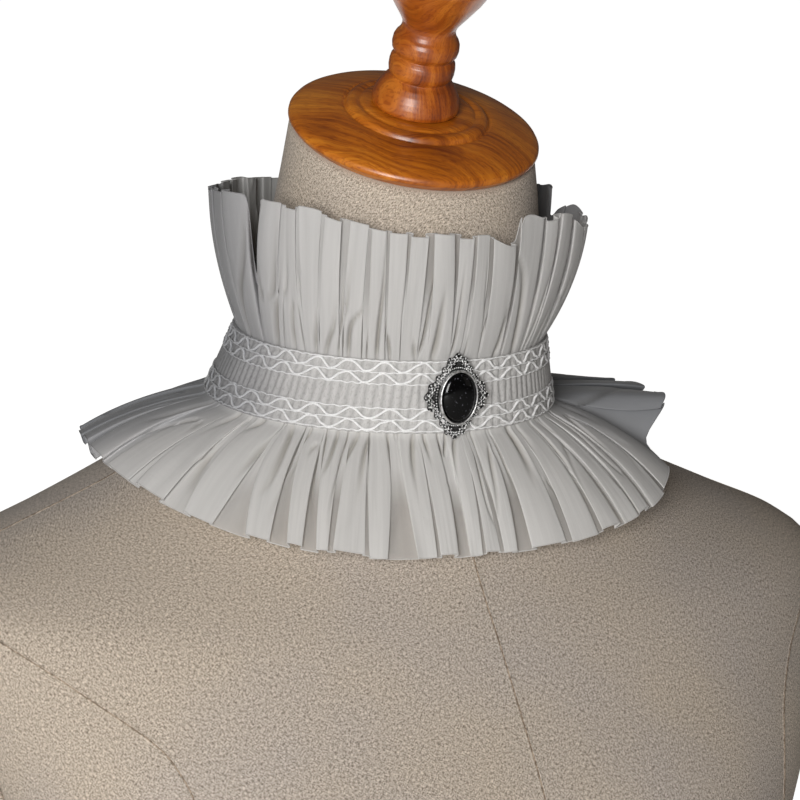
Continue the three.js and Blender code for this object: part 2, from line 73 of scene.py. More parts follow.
LOWER_EDGE = table(
    "angle radius height depth",
    (0, 113.5, -4.5, 3.4), (10, 112.5, -6.5, 3.4), (20, 111.5, -9.5, 3.5), (45, 108, -18, 3.4),
    (70, 107, -25, 3.2), (100, 107, -28, 3.2), (130, 109, -28, 3.2), (150, 112.5, -23, 6.5),
    (168, 111, -19, 5.5), (185, 110.5, -20, 3.2), (203, 110, -25, 3), (225, 107, -32, 2.7),
    (248, 98, -37, 2.3), (270, 93, -38, 2.2), (293, 99, -36, 2.3), (315, 108, -31, 2.6),
    (330, 111.5, -24, 2.8), (338, 110, -20.5, 2.8), (343, 105, -14.5, 2.8), (348, 113.5, -3, 3),
    (355, 114, -4, 3.2),
)

# The crest of each fold at the edge, for the folds that are listed one by one: where it starts and ends round
# the neck, how much higher its edge is than its neighbours', how it tilts from start to end, and how deep
# the valley after it goes, where 1 is a full fold.
UPPER_FOLDS = table(
    "start end step tilt gap",
    (181, 193.6, 1, -0.3, 2.4), (198.6, 208.3, 1, 0.2, 0.35), (208.7, 213.7, -0.8, 0.35, 0.3),
    (214.2, 222.8, 1.2, -0.1, 0.35), (223.2, 229.5, -0.5, 0.2, 0.8), (231.3, 237.8, 1.2, -0.2, 0.25),
    (238.2, 243.3, 0.3, 0.15, 0.3), (243.7, 249.8, -0.3, -0.1, 0.4), (250.2, 256.4, -1.2, 0.3, 0.9),
    (257.1, 264.6, 0.6, -0.15, 0.9), (265.4, 270.8, -0.8, 0.2, 0.3), (271.2, 276.2, 0.8, -0.25, 0.35),
    (277, 286.6, -0.3, 0.1, 0.7), (287.6, 298.8, 0.3, -0.15, 0.9), (299.4, 304.8, -1, 0.25, 0.7),
    (305.4, 312.8, 1, -0.2, 0.8), (313.4, 321.8, -0.5, 0.2, 0.9), (322.6, 332.5, 0, -0.1, 0.9),
    (333.5, 343.5, 0.5, 0.2, 0.6), (344.5, 357, 0.3, -0.2, 0.9), (362.6, 370.5, 0, -0.1, 0.8),
    (371.5, 380, 0.3, 0.2, 0.7),
)
LOWER_FOLDS = table(
    "start end step tilt gap",
    (172, 182, 0, 0.2, 0.5), (183.3, 192.5, 0.6, -0.2, 0.45), (193.5, 202.6, -0.5, 0.1, 1.1),
    (207, 214.6, 0.8, -0.25, 0.9), (220.5, 226, 0.2, 0.2, 0.8), (228.7, 232, -0.3, 0, 0.8),
    (234.3, 236.9, 0.3, 0.2, 0.3), (237.3, 244.3, -0.6, -0.15, 0.25), (244.7, 249, 0.8, 0.2, 0.8),
    (255, 259.8, 0.2, -0.2, 0.3), (260.2, 265, -0.6, 0.1, 0.9), (267.3, 270.5, 0.6, 0.2, 0.3),
    (271, 275, -0.4, -0.2, 0.35), (275.5, 279, 0.4, 0.15, 1.2), (281.8, 291.5, -0.3, -0.15, 0.5),
    (292, 299.5, 0.7, 0.2, 0.45), (300, 306, -0.6, -0.2, 0.8), (306.5, 311, 0.5, 0.25, 0.35),
    (311.5, 315.4, -0.5, -0.1, 0.6), (316, 322.5, 0.8, 0.2, 0.6), (323, 334, -0.4, -0.2, 1.6),
    (345.5, 355.5, 0, 0.3, 1), (358.5, 367.5, 0.4, -0.2, 0.8),
)
UPPER_BEHIND = 17  # more folds run evenly from the last of the laid ones to the first
LOWER_BEHIND = 18

FORM_SECTIONS = table(
    "z middle side front back squareness tilt",
    (-270, 0, 127, 122, 82, 2.3, 0), (-235, 0, 134, 142, 89, 2.3, 0), (-205, 0, 140, 157, 94, 2.3, 0),
    (-180, 0, 146, 161, 98, 2.3, 0), (-150, 0, 162, 157, 102, 2.25, 0), (-120, 0, 175, 145, 103, 2.2, 0),
    (-90, 0, 185, 124, 102, 2.05, 0), (-66, 0, 188, 106, 99, 1.9, 0), (-56, 0, 176, 98, 97, 1.8, 0),
    (-43, 0, 145, 88, 92, 1.75, 0), (-27, 0, 108, 76, 84, 1.8, 0), (-15, 0, 85, 68.5, 73, 1.9, 0),
    (-7, 0, 69, 65, 66.5, 2, 0), (0, 0, 63.4, 63.4, 63.4, 2, 0), (27, -7.5, 56.1, 56.1, 56.1, 2, 0),
    (45, -12, 53, 53, 53, 2, 0), (62, -15.5, 50.6, 50.6, 50.6, 2, 3),
    (82, -18.5, 48.2, 48.2, 48.2, 2, 10), (101, -19.5, 45.8, 45.8, 45.8, 2, 17.5),
)
BUST = dict(z=-178, out=74, high=9, spread=40, drop=46)
ARMHOLE = dict(top_z=-58, bottom_z=-182, outer_x=186, at_z=-66, slope=0.37)
ARM_PLATE = dict(z=-120, half_height=57, half_depth=43, middle_y=-8, thick=3)

CAP_PROFILE = table(
    "radius height",
    (0, 0.3), (44.2, 0.3), (45.0, 0.9), (45.5, 1.6), (46.3, 2.1), (46.8, 3.0), (46.7, 4.0), (46.0, 5.0),
    (44.4, 6.0), (41, 7.2), (37, 8.4), (33.4, 9.4), (29.6, 10.1), (28.0, 10.2), (27.4, 9.7), (26.8, 9.7),
    (26.4, 10.6), (25.8, 11.6), (24.8, 12.2), (23.6, 12.4), (22.4, 12.1), (21.6, 11.9), (20.8, 12.5),
    (19.2, 12.8), (0, 12.8),
)
FINIAL_PROFILE = table(
    "radius height",
    (0, 13.1), (15.4, 13.1), (16.1, 13.7), (16.3, 14.8), (16.0, 16.8), (15.3, 19), (14.1, 21.3),
    (12.8, 23.2), (11.8, 24.2), (11.2, 24.9), (11.3, 25.5), (11.9, 26.4), (12.2, 28), (12.2, 30.2),
    (11.9, 31.8), (11.2, 32.9), (10.8, 33.4), (11.3, 34.2), (12.1, 35.4), (12.4, 37.2), (12.2, 39.4),
    (11.6, 40.8), (10.8, 41.8), (10.2, 43), (9.9, 44.5), (10.2, 46.2), (11.2, 48), (14, 52), (17.6, 57.4),
    (21, 64), (22.4, 71), (20.4, 79), (14.4, 86), (9.6, 88.8), (6.6, 89.9), (5.4, 91), (6, 93.6),
    (4, 96.6), (1.6, 97.4), (0, 97.6),
)
CAP_SEAT = dict(z=101, middle=-19.5, tilt=17.5)
FINIAL_OFFSET = -1.5

BROOCH = dict(
    angle=269.5,
    z=14,
    stand_off=0.9,
    half_width=9,
    half_height=12,
    side_point=3.2,
    end_point=3.4,
    scallops=20,
    scallop_depth=0.55,
    stone_half_width=6.5,
    stone_half_height=9,
    stone_dome=3.2,
)

# Where the seams of the front run.
CENTRE_FRONT = table(
    "z x",
    (-270, 6), (-150, 6.5), (-115, 6), (-75, 3), (-45, 0.6), (0, 0),
)
PRINCESS_LEFT = table(
    "z x",
    (-262, 84), (-220, 100), (-180, 114), (-150, 119), (-137, 121), (-120, 123), (-104, 128), (-89, 139),
    (-79, 151), (-70, 164),
)
PRINCESS_RIGHT = table(
    "z x",
    (-262, 80), (-220, 95), (-180, 108), (-150, 112), (-130, 113), (-112, 115), (-102, 119.4),
    (-97.5, 123.1), (-91.7, 130.7), (-84.6, 141.6), (-79, 150), (-69.8, 165.5),
)
# The soft edge on each side of a seam, and the stitched line between them.
SEAM = dict(welt=0.6, apart=0.62, sunk=0.42, line=0.24, raised=0.04)
SKIN_TURN = 0.002  # the skin's slope is taken over this turn and this rise
SKIN_RISE = 0.4
UPRIGHT = 0.2  # a tube's path that runs less than this sideways counts as upright
# Where the seams start and end, and how far round the shoulder's seam lies.
SEAM_RUNS = dict(foot=1, top=-3, shoulder_top=-4, shoulder_end=-64, shoulder_turn=0.04, under_arm=2)
FORM_RING = 180
FORM_STEP = 3.2  # between levels
# Shares of the armhole plate's size and of its thickness, from its foot to its crown.
PLATE_DOME = (
    (1.0, 0.0), (1.015, 0.35), (1.01, 0.7), (0.985, 0.95), (0.95, 1.0),
    (0.8, 1.12), (0.6, 1.22), (0.35, 1.28), (0.12, 1.3),
)
PIPING = dict(share=1.01, height=1.0, radius=1.0)
LATHE_SIDES = 144
LATHE_CUTS = 4  # for each row of a profile

# Both ruffles: how their cloth runs from the seam to the edge.
BOWL = 0.75  # how much of the upper ruffle's spread comes early
UPPER_OUT = -0.25  # how far its skin faces down
HEM_CURVE = 0.12  # how much the lower ruffle's spread eases off
HEM_SAG = 0.28
ROOT_DROP = 0.8  # how far the lower ruffle's cloth dips as it leaves the band
ROOT_REACH = 0.04
ROOT_INSIDE = -0.03  # where both ruffles start, inside the band's cloth
ROW_POWER = 1.15  # rows lie closer near the seam
EDGE_FROM = 0.9  # the cloth's direction at the edge is taken from here on
# Folds behind: where the crest starts and ends in its share of the round, as in the source.
BACK_SHARE = dict(start=0.1, end=0.9, sway=0.06, step=2.4, lag=1.7)
BACK_DRAWS = dict(step=(-1, 1), tilt=(-0.3, 0.3), gap=(0.4, 1))
# One fold along its cloth, from the middle of a valley to the middle of the next. place counts valley 0,
# crest's start 1, crest's end 2 and next valley 3, tuck is how far the cloth goes in behind the crest.
PLEAT = table(
    "cloth place tuck rise",
    (0, 0, 0, -1), (0.17, 1, 1, -1), (0.29, 1, 0, 1), (0.71, 2, 0, 1), (0.83, 2, -1, -1), (1, 3, 0, -1),
)
CLOSED = 0.15  # how much of a valley still shows between two crests at the seam
OPENING = dict(first=0.05, last=0.45, power=1.2)  # the reach at which a valley starts to open, and how fast
TUCK = dict(upper=2.4, lower=3.2)  # millimetres behind the crest at the edge
TUCK_SHARE = 0.3  # of the crest, at most
TUCK_OPENS = dict(speed=1.6, power=0.8)
SEAM_KEEP = 0.75  # how much of its shift a fold keeps at the seam
FOLD_DEPTH = dict(upper=0.56, lower=0.48)  # of the depth in the edge's table
FOLD_GROWTH = dict(root=0.1, power=0.9)  # of that depth at the seam, and how it grows
FOLD_SOFTNESS = 1.7  # how far a fold's edge is rounded, in steps
UNEVEN = ((0.24, 7, 1.3), (0.16, 13, 0.4))  # height, waves round the neck and start of each sway in the depth
STEPS_PER_FOLD = 48
RUFFLE_ROWS = 34
HEM_SIDES = 5
CREST_BULGE = 0.10
# Slits that run out from the seam between the gathers; their half width is in steps round the cloth.
GATHERS = dict(depth=1.7, width=2.3, flattest=0.04, reach=0.42, slant=1.5)
SLITS = dict(sway=0.6, least=0.3, power=2.5, root=0.4, root_reach=0.08)
CREASES = dict(depth=0.22, slant=1.5)  # soft waves that grow towards the edge
WANDER = 1.7  # degrees that the folds stray at the seam
SINGLE_FROM = 2.5  # how soon the cloth of an open valley lies single
# Beside a valley at least this deep the cloth falls away in a V: how far at the edge, and from what reach.
FALL = dict(gap=2, depth=32, reach=0.3)

BAND_STEPS = 8  # to a tuck
BAND_ROWS = 46
BAND_INSIDE = (1.0, 0.5, 0.0)
STRIPS = dict(lower=(0.0, 0.37), upper=(0.65, 1.0))
STRIP_EDGE = 0.012
STITCH_ROW = 1.5  # from one row of stitches to the next
# How round a tuck is, how it strays sideways, and how far the stitches in a strip hold it and pull it about.
TUCKED = dict(power=0.7, stray=0.45, slant=4, held=0.25, jitter=0.12, jitter_slant=40)
WAVES = 29  # round the band
WAVE_HEIGHT = 4.2
WAVE = dict(share=0.84, start=1.9, stray=0.2, flat=0.03, uneven=0.12, row_uneven=0.15, margin=0.4)
THREAD_STEPS = 10  # to a tuck
THREAD_RADIUS = 0.46
ROW_RADIUS = 0.28
THREAD_LIFT = 0.05
THREAD_DIP = 0.12

# Sums of waves: the fewest and the most waves round the neck, how many are summed, and the seed.
RIPPLES = dict(
    creases=(40, 90, 6, 2),
    gathers=(28, 62, 7, 3),
    slits=(20, 60, 4, 4),
    wander=(9, 24, 5, 5),
    tucks=(20, 60, 5, 41),
    jitter=(200, 400, 6, 42),
    wave_start=(3, 20, 4, 50),
    wave_height=(40, 120, 5, 60),
    row_height=(30, 130, 6, 70),
)
RIPPLE_SHIFT = 4  # radians that a wave may shift on its way down the cloth
SEEDS = dict(upper=101, lower=202, upper_folds=31, lower_folds=32, beads=11)

OVAL_SIDES = 96
BROOCH_SIDES = 240
# The plate's rings by inset and height, and the rim's by distance from the stone's edge and height.
PLATE_STEPS = ((0.4, 0.0), (0.0, 0.15), (0.0, 0.8), (0.35, 1.0), (2.6, 0.9), (5.2, 1.0))
RIM_STEPS = ((0.3, 1.7), (1.1, 1.7), (1.15, 2.6), (1.0, 3.4), (0.7, 3.75), (0.42, 3.6), (0.3, 3.0))
POINT_POWER = 9  # how sharp the brooch's four points are
# Each row of beads: its inset from the outline, its number of beads and their radius.
BEAD_ROWS = ((0.35, 76, 0.36), (1.35, 60, 0.44), (2.3, 54, 0.34))
BEADS = dict(stray=0.15, least=0.75, most=1.15, height=1.15, lift=0.25)
BEZEL_BEADS = dict(number=64, out=1.75, height=1.5, radius=0.34)
SCROLLS = dict(number=40, inset=1.6, turns=1.15, size=0.95, shrink=0.62, height=1.1, rise=0.25, wire=0.17)
SCROLL_STEPS = 16
CABOCHON = dict(foot=1.7, edge=1.2, power=0.8, steps=14)

LINEN_BIAS = math.radians(38)  # how far the threads lie off the upright
LINEN_SCALE = dict(thread=2200, slub=780, fleck=2500, cloud=13)
LINEN_DARK = (0.18, 0.148, 0.115)
LINEN_LIGHT = (0.50, 0.436, 0.368)
LINEN_PALE = (0.78, 0.70, 0.61)
LINEN_COOL = (0.92, 0.92, 0.95)
LINEN_WARM = (1.0, 0.975, 0.94)
SEAM_DARK = (0.21, 0.155, 0.11)
SEAM_TAN = (0.47, 0.37, 0.28)
# The upper ruffle's white is set darker than the lower's, as painted shade for the light each gets.
CLOTH_WHITE = dict(upper=(0.59, 0.582, 0.572), lower=(0.70, 0.69, 0.675))
CREASE_SCALE = (420, 16, 1)
CRINKLE_SCALE = 420
BAND_FLECK = (1500, 700, 1)
BAND_PATCH = 60
# How solid the cloth looks where it lies double and single, and how that changes from front to back.
SHEER = dict(double=0.88, single=0.44, back=1.0, front_y=-0.055, back_y=-0.015)
# Painted shade on the cloth towards the back and sides, lighter again at the very back: how far x counts
# for it as well, then rows of y, red, green and blue.
SHADES = dict(
    upper=(
        0.0,
        (
            (-0.038, 1.0, 1.0, 1.0), (-0.018, 0.88, 0.88, 0.89), (-0.002, 0.62, 0.625, 0.65),
            (0.020, 0.45, 0.46, 0.485), (0.043, 0.36, 0.37, 0.39), (0.058, 0.85, 0.86, 0.86),
        ),
    ),
    lower=(
        0.25,
        (
            (-0.045, 1.0, 1.0, 1.0), (-0.015, 0.92, 0.92, 0.93), (0.000, 0.66, 0.67, 0.70),
            (0.020, 0.37, 0.385, 0.415), (0.060, 0.26, 0.275, 0.30), (0.085, 0.30, 0.315, 0.335),
            (0.110, 0.75, 0.755, 0.76),
        ),
    ),
)
SLIT_SHADE = (0.64, 0.62, 0.58)  # painted shade down in a slit between the gathers
TUCK_SHADE = 0.22  # painted shade: how much darker the cloth is down in a tuck
WOOD_TONES = dict(
    cap=((0.18, 0.032, 0.001), (0.52, 0.142, 0.006), (0.80, 0.29, 0.022)),
    finial=((0.12, 0.016, 0.001), (0.38, 0.084, 0.004), (0.64, 0.20, 0.019)),
)
WOOD_STOPS = (0.36, 0.49, 0.64)
GRAIN = dict(bend=0.045, waver=14, lines=(22, 900, 60), broad=(8, 170, 30), pores=(230, 2600, 900), clouds=30)
NOISE_SCALE = dict(thread=1600, stitches=620, wear=900, specks=900)
JET_BLACK = (0.001, 0.001, 0.0012)
JET_SPECK = (0.10, 0.10, 0.12)

CAMERA = dict(azimuth=-25, elevation=13, roll=2.6, distance=1.3, lens=153.9, right=8.0, down=3.0)
# Each light's name, place, size, power and colour.
LIGHTS = (
    ("key", (-1.50, -2.02, 0.84), 1.0, 54, (1.0, 0.99, 0.975)),
    ("fill", (1.8, -1.6, 0.9), 1.2, 1, (1.0, 0.93, 0.85)),
)
LIGHT_TARGET = (0, 0, 0.3)
WORLD_COLOR = (1.0, 0.93, 0.86)
WORLD_STRENGTH = 0.075
FLOOR_HALF = 12
# A strip of lit paper behind the form, as wide as the camera needs it: how far it runs, and half its widths.
BACKDROP = dict(near=0.22, near_half=0.42, far=4.6, far_half=1.05, lift=0.001, strength=0.95)
BACKDROP_TURN = math.radians(-25)


# ---- tables and waves
def between(keys, values, at):
    """A smooth value between a table's rows, by cubic pieces with the slope of each row's neighbours."""
    last = len(keys) - 1
    low = np.clip(np.searchsorted(keys, at, side="right") - 1, 0, last - 1)
    before = np.maximum(np.arange(last + 1) - 1, 0)
    after = np.minimum(np.arange(last + 1) + 1, last)
    slope = (values[after] - values[before]) / (keys[after] - keys[before])
    run = keys[low + 1] - keys[low]
    t = (at - keys[low]) / run
    rest = 1 - t
    start = values[low] * rest * rest * (1 + 2 * t)
    end = values[low + 1] * t * t * (3 - 2 * t)
    return start + end + run * t * rest * (slope[low] * rest - slope[low + 1] * t)


def around(edge, name, angle):
    """The same for an edge table, which runs round the neck."""
    keys = edge["angle"]
    values = edge[name]
    keys = np.concatenate((keys[-2:] - 360, keys, keys[:2] + 360))
    values = np.concatenate((values[-2:], values, values[:2]))
    return between(keys, values, np.mod(angle, 360))


def form_value(name, z):
    return between(FORM_SECTIONS["z"], FORM_SECTIONS[name], z)


def ripples(turn, reach, kind, more_seed=0):
    """Uneven ripples that close round the neck: a sum of waves that shift as they run down the cloth."""
    low, high, count, seed = RIPPLES[kind]
    draw = np.random.default_rng(seed + more_seed)
    total = np.zeros(np.broadcast(turn, reach).shape)
    for _ in range(count):
        waves = int(draw.integers(low, high + 1))
        start = draw.uniform(0, TURN)
        shift = draw.uniform(-RIPPLE_SHIFT, RIPPLE_SHIFT)
        total = total + np.sin(TURN * waves * turn + start + shift * reach)
    return total / math.sqrt(count)


# ---- meshes
def polar(angle, radius, height, forwards=0):
    """Points round an upright axis, from angles in radians."""
    x = radius * np.cos(angle)
    y = radius * np.sin(angle) - forwards
    return np.stack(np.broadcast_arrays(x, y, height), -1)


def oval(half_x, half_y, z):
    """A ring of points at height z."""
    turn = np.linspace(0, TURN, OVAL_SIDES, endpoint=False)
    return np.stack((half_x * np.cos(turn), half_y * np.sin(turn), np.full(OVAL_SIDES, float(z))), -1)


def cloth_places(across, up):
    """Where each point lies on its flat cloth, in metres, from millimetres."""
    return np.stack(np.broadcast_arrays(across, up), -1).reshape(-1, 2) * MM


def add_piece(name, shape, material, uvs=None, layers=None):
    """A smooth mesh object from points in millimetres, measured from the model's origin, and faces."""
    verts, faces = shape
    mesh = bpy.data.meshes.new(name)
    mesh.from_pydata([tuple(v) for v in np.asarray(verts) * MM], [], faces)
    for layer_name, places in (("cloth", uvs), ("layers", layers)):
        if places is not None:
            layer = mesh.uv_layers.new(name=layer_name)
            loops = np.empty(len(mesh.loops), dtype=np.int32)
            mesh.loops.foreach_get("vertex_index", loops)
            layer.data.foreach_set("uv", np.asarray(places, np.float32)[loops].ravel())
    mesh.polygons.foreach_set("use_smooth", np.ones(len(mesh.polygons), dtype=bool))
    mesh.materials.append(material)
    mesh.update()
    obj = bpy.data.objects.new(name, mesh)
    bpy.context.scene.collection.objects.link(obj)
    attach(obj, BODY)
    return obj


def grid_faces(rows, columns, flip=False):
    """Faces of a grid that closes round. Its points are numbered row by row."""
    faces = []
    for r in range(rows - 1):
        for c in range(columns):
            d = (c + 1) % columns
            face = (r * columns + c, r * columns + d, (r + 1) * columns + d, (r + 1) * columns + c)
            faces.append(face[::-1] if flip else face)
    return faces


def looped(grid):
    """Points and faces of rings whose last one joins the first."""
    rows, columns = grid.shape[:2]
    last = (rows - 1) * columns
    faces = grid_faces(rows, columns)
    for c in range(columns):
        d = (c + 1) % columns
        faces.append((last + c, last + d, d, c))
    return grid.reshape(-1, 3), faces


def capped(rings):
    """Points and faces of rings, with one flat face over each end."""
    columns = len(rings[0])
    last = (len(rings) - 1) * columns
    faces = grid_faces(len(rings), columns)
    faces.append(tuple(range(last, last + columns)))
    faces.append(tuple(reversed(range(columns))))
    return np.concatenate(rings), faces


def fanned(grid, ends):
    """Points and faces of rings, with a fan of triangles to a middle point at each end."""
    rows, columns = grid.shape[:2]
    last = (rows - 1) * columns
    base = rows * columns
    faces = grid_faces(rows, columns)
    faces += [(base, (c + 1) % columns, c) for c in range(columns)]
    faces += [(base + 1, last + c, last + (c + 1) % columns) for c in range(columns)]
    return np.concatenate((grid.reshape(-1, 3), ends)), faces


def tube(path, radius, sides=6, close=True):
    """Points and faces of a tube along a path of points, with the same radius all along."""
    path = np.asarray(path, float)
    if close:
        ahead = np.roll(path, -1, axis=0) - np.roll(path, 1, axis=0)
    else:
        ahead = np.gradient(path, axis=0)
    ahead /= np.linalg.norm(ahead, axis=1)[:, None]
    side = np.cross(ahead, np.array([0.0, 0.0, 1.0]))
    upright = np.linalg.norm(side, axis=1) < UPRIGHT
    side[upright] = np.cross(ahead[upright], np.array([1.0, 0.0, 0.0]))
    side /= np.linalg.norm(side, axis=1)[:, None]
    over = np.cross(side, ahead)
    turn = np.linspace(0, TURN, sides, endpoint=False)
    ring = side[:, None, :] * np.cos(turn)[None, :, None] + over[:, None, :] * np.sin(turn)[None, :, None]
    points = path[:, None, :] + radius * ring
    faces = []
    count = len(path)
    for r in range(count if close else count - 1):
        s = (r + 1) % count
        for c in range(sides):
            d = (c + 1) % sides
            faces.append((r * sides + c, s * sides + c, s * sides + d, r * sides + d))
    if not close:
        faces.append(tuple(range(sides)))
        faces.append(tuple((count - 1) * sides + c for c in reversed(range(sides))))
    return points.reshape(-1, 3), faces


def joined(parts):
    """One list of points and faces from several."""
    verts = []
    faces = []
    offset = 0
    for points, quads in parts:
        verts.append(np.asarray(points))
        faces.extend(tuple(i + offset for i in quad) for quad in quads)
        offset += len(points)
    return np.concatenate(verts), faces


# ---- materials
class Nodes:
    """Short calls for building one material's node tree."""

    def __init__(self, name):
        self.material = bpy.data.materials.new(name)
        self.material.use_nodes = True
        self.tree = self.material.node_tree
        self.shader = self.tree.nodes["Principled BSDF"]

    def fill(self, socket, value):
        """Gives a socket its value, or links it to another node's output."""
        if isinstance(value, bpy.types.NodeSocket):
            self.tree.links.new(value, socket)
        elif socket.type == "RGBA":
            socket.default_value = (*value[:3], 1)
        else:
            socket.default_value = value

    def add(self, kind, inputs, output=0, **settings):
        """A node with these inputs, and one of its outputs."""
        node = self.tree.nodes.new(f"ShaderNode{kind}")
        for key, value in settings.items():
            setattr(node, key, value)
        for key, value in inputs.items():
            self.fill(node.inputs[key], value)
        return node.outputs[output]

    def set(self, **values):
        for key, value in values.items():
            self.fill(self.shader.inputs[key.replace("_", " ")], value)

    def done(self, color, **values):
        """The material, with its colour and the shader's own values."""
        self.set(Base_Color=color, **values)
        return self.material

    def place(self, kind="Object"):
        return self.add("TexCoord", {}, kind)

    def axis(self, vector, name):
        return self.add("SeparateXYZ", dict(Vector=vector), name)

    def mapped(self, source, scale=(1, 1, 1), turn=0):
        return self.add("Mapping", dict(Vector=source, Scale=scale, Rotation=(0, 0, turn)))

    def noise(self, source, scale, detail=3, roughness=0.5, distortion=0):
        """Noise between 0 and 1. Three scales stretch it along the three axes."""
        if isinstance(scale, tuple):
            source = self.mapped(source, scale)
            scale = 1
        inputs = dict(Vector=source, Scale=scale, Detail=detail, Roughness=roughness, Distortion=distortion)
        return self.add("TexNoise", inputs, "Fac")

    def math(self, operation, a, b=0.5):
        return self.add("Math", {0: a, 1: b}, operation=operation)

    def weighted(self, *parts):
        """The sum of some sources, each times its share."""
        total = None
        for source, share in parts:
            part = self.math("MULTIPLY", source, share)
            total = part if total is None else self.math("ADD", total, part)
        return total

    def ranged(self, source, low, high, at_low=0, at_high=1):
        limits = {"From Min": low, "From Max": high, "To Min": at_low, "To Max": at_high}
        return self.add("MapRange", dict(Value=source, **limits))

    def ramp(self, source, *stops):
        node = self.tree.nodes.new("ShaderNodeValToRGB")
        elements = node.color_ramp.elements
        while len(elements) < len(stops):
            elements.new(1)
        for element, (at, color) in zip(elements, stops):
            element.position = at
            element.color = (*color, 1)
        self.fill(node.inputs["Fac"], source)
        return node.outputs["Color"]

    def mix(self, factor, a, b, blend="MIX"):
        return self.add("Mix", {0: factor, 6: a, 7: b}, 2, data_type="RGBA", blend_type=blend)

    def multiplied(self, a, b):
        return self.mix(1.0, a, b, blend="MULTIPLY")

    def bump(self, height, distance, strength=0.4):
        self.set(Normal=self.add("Bump", dict(Distance=distance, Strength=strength, Height=height)))


def linen_material(name):
    """A fine plain weave of slubby threads that lie on the bias, with lighter and darker flecks."""
    n = Nodes(name)
    uv = n.mapped(n.place("UV"), turn=LINEN_BIAS)
    thread, slub, fleck, cloud = (LINEN_SCALE[key] for key in ("thread", "slub", "fleck", "cloud"))
    warp = n.noise(uv, (thread, slub, 1), detail=1)
    weft = n.noise(uv, (slub, thread, 1), detail=1)
    mixed = n.weighted((warp, 0.32), (weft, 0.32), (n.noise(uv, fleck, detail=2, roughness=0.6), 0.36))
    tone = n.ramp(mixed, (0.39, LINEN_DARK), (0.50, LINEN_LIGHT), (0.61, LINEN_PALE))
    tint = n.ramp(n.noise(n.place(), cloud), (0.36, LINEN_COOL), (0.60, LINEN_WARM))
    n.bump(mixed, 0.0002, strength=0.35)
    tone = n.multiplied(tone, tint)
    return n.done(tone, Roughness=0.95, Specular_IOR_Level=0.1, Sheen_Weight=0.1, Sheen_Roughness=0.6)


def shaded(n, tone, kind):
    """A tone with painted shade towards the back, and where in the model it lies from front to back."""
    aside, stops = SHADES[kind]
    low = stops[0][0]
    high = stops[-1][0]
    place = n.place()
    backwards = n.axis(place, "Y")
    along = n.ranged(n.math("ADD", backwards, n.math("MULTIPLY", n.axis(place, "X"), aside)), low, high)
    shade = n.ramp(along, *(((y - low) / (high - low), color) for y, *color in stops))
    return n.multiplied(tone, shade), backwards


def organza_material(name, kind, streak, solid=None):
    """Semi-sheer cloth: fine creases run down it, with painted shade towards the back and down in the slits,
    and less shows through where it lies double and behind.
    """
    n = Nodes(name)
    base = CLOTH_WHITE[kind]
    uv = n.place("UV")
    creases = n.noise(uv, CREASE_SCALE, detail=4, roughness=0.55, distortion=0.3)
    crinkle = n.noise(uv, CRINKLE_SCALE, roughness=0.6)
    tone = n.ramp(creases, (0.30, tuple(c * streak for c in base)), (0.62, base))
    # Painted shade towards the back.
    tone, back_to_front = shaded(n, tone, kind)
    n.bump(n.weighted((creases, 0.8), (crinkle, 0.2)), 0.0006)
    if solid is None:
        layers = n.add("UVMap", {}, uv_map="layers")
        # Painted shade down in the slits between the gathers.
        tone = n.multiplied(tone, n.mix(n.axis(layers, "Y"), (1.0, 1.0, 1.0), SLIT_SHADE))
        front = n.ranged(n.axis(layers, "X"), 0, 1, SHEER["double"], SHEER["single"])
        behind = n.ranged(back_to_front, SHEER["front_y"], SHEER["back_y"])
        gain = n.math("MULTIPLY", n.math("SUBTRACT", SHEER["back"], front), behind)
        solid = n.math("ADD", front, gain)
    surface = dict(Roughness=0.75, Specular_IOR_Level=0.15, Sheen_Weight=0.15, Sheen_Roughness=0.4)
    return n.done(tone, Alpha=solid, **surface)


def band_material(name):
    """The smocked ground: pale cloth with painted shade down in its tucks and towards the back, and fine
    flecks where its stitches pull.
    """
    n = Nodes(name)
    uv = n.place("UV")
    fleck = n.noise(uv, BAND_FLECK, detail=2, roughness=0.6)
    tone = n.ramp(fleck, (0.30, (0.46, 0.45, 0.44)), (0.50, (0.61, 0.60, 0.59)))
    shade = n.ramp(n.noise(uv, BAND_PATCH, detail=2), (0.3, (0.90, 0.90, 0.90)), (0.7, (1.0, 1.0, 1.0)))
    # Painted shade down in the tucks.
    turn = n.math("MULTIPLY", n.axis(uv, "X"), math.pi * BAND["tucks"] / (GIRTH * MM))
    ridge = n.math("ABSOLUTE", n.math("COSINE", turn))
    tuck_painted_shade = n.math("SUBTRACT", 1.0, n.math("MULTIPLY", n.math("SUBTRACT", 1.0, ridge), TUCK_SHADE))
    gray = n.add("CombineXYZ", dict(X=tuck_painted_shade, Y=tuck_painted_shade, Z=tuck_painted_shade))
    n.bump(fleck, 0.0003)
    # Painted shade towards the back.
    tone, _ = shaded(n, n.multiplied(n.multiplied(tone, shade), gray), "upper")
    return n.done(tone, Roughness=0.7, Specular_IOR_Level=0.15, Sheen_Weight=0.1, Sheen_Roughness=0.4)


def thread_material(name, base=(0.92, 0.92, 0.92)):
    """Twisted mercerised thread, with a soft shine, and painted shade towards the back."""
    n = Nodes(name)
    fibres = n.noise(n.place(), NOISE_SCALE["thread"], detail=2)
    n.bump(fibres, 0.0002)
    # Painted shade towards the back.
    tone, _ = shaded(n, n.ramp(fibres, (0.3, tuple(c * 0.86 for c in base)), (0.6, base)), "upper")
    return n.done(tone, Roughness=0.38, Specular_IOR_Level=0.5, Sheen_Weight=0.2)


def seam_material(name):
    """The sunk line of a seam: dark, with the tan dots of its stitches."""
    n = Nodes(name)
    dots = n.noise(n.place(), NOISE_SCALE["stitches"], detail=1)
    tone = n.ramp(dots, (0.44, SEAM_DARK), (0.56, SEAM_TAN))
    return n.done(tone, Roughness=0.9, Specular_IOR_Level=0.1)


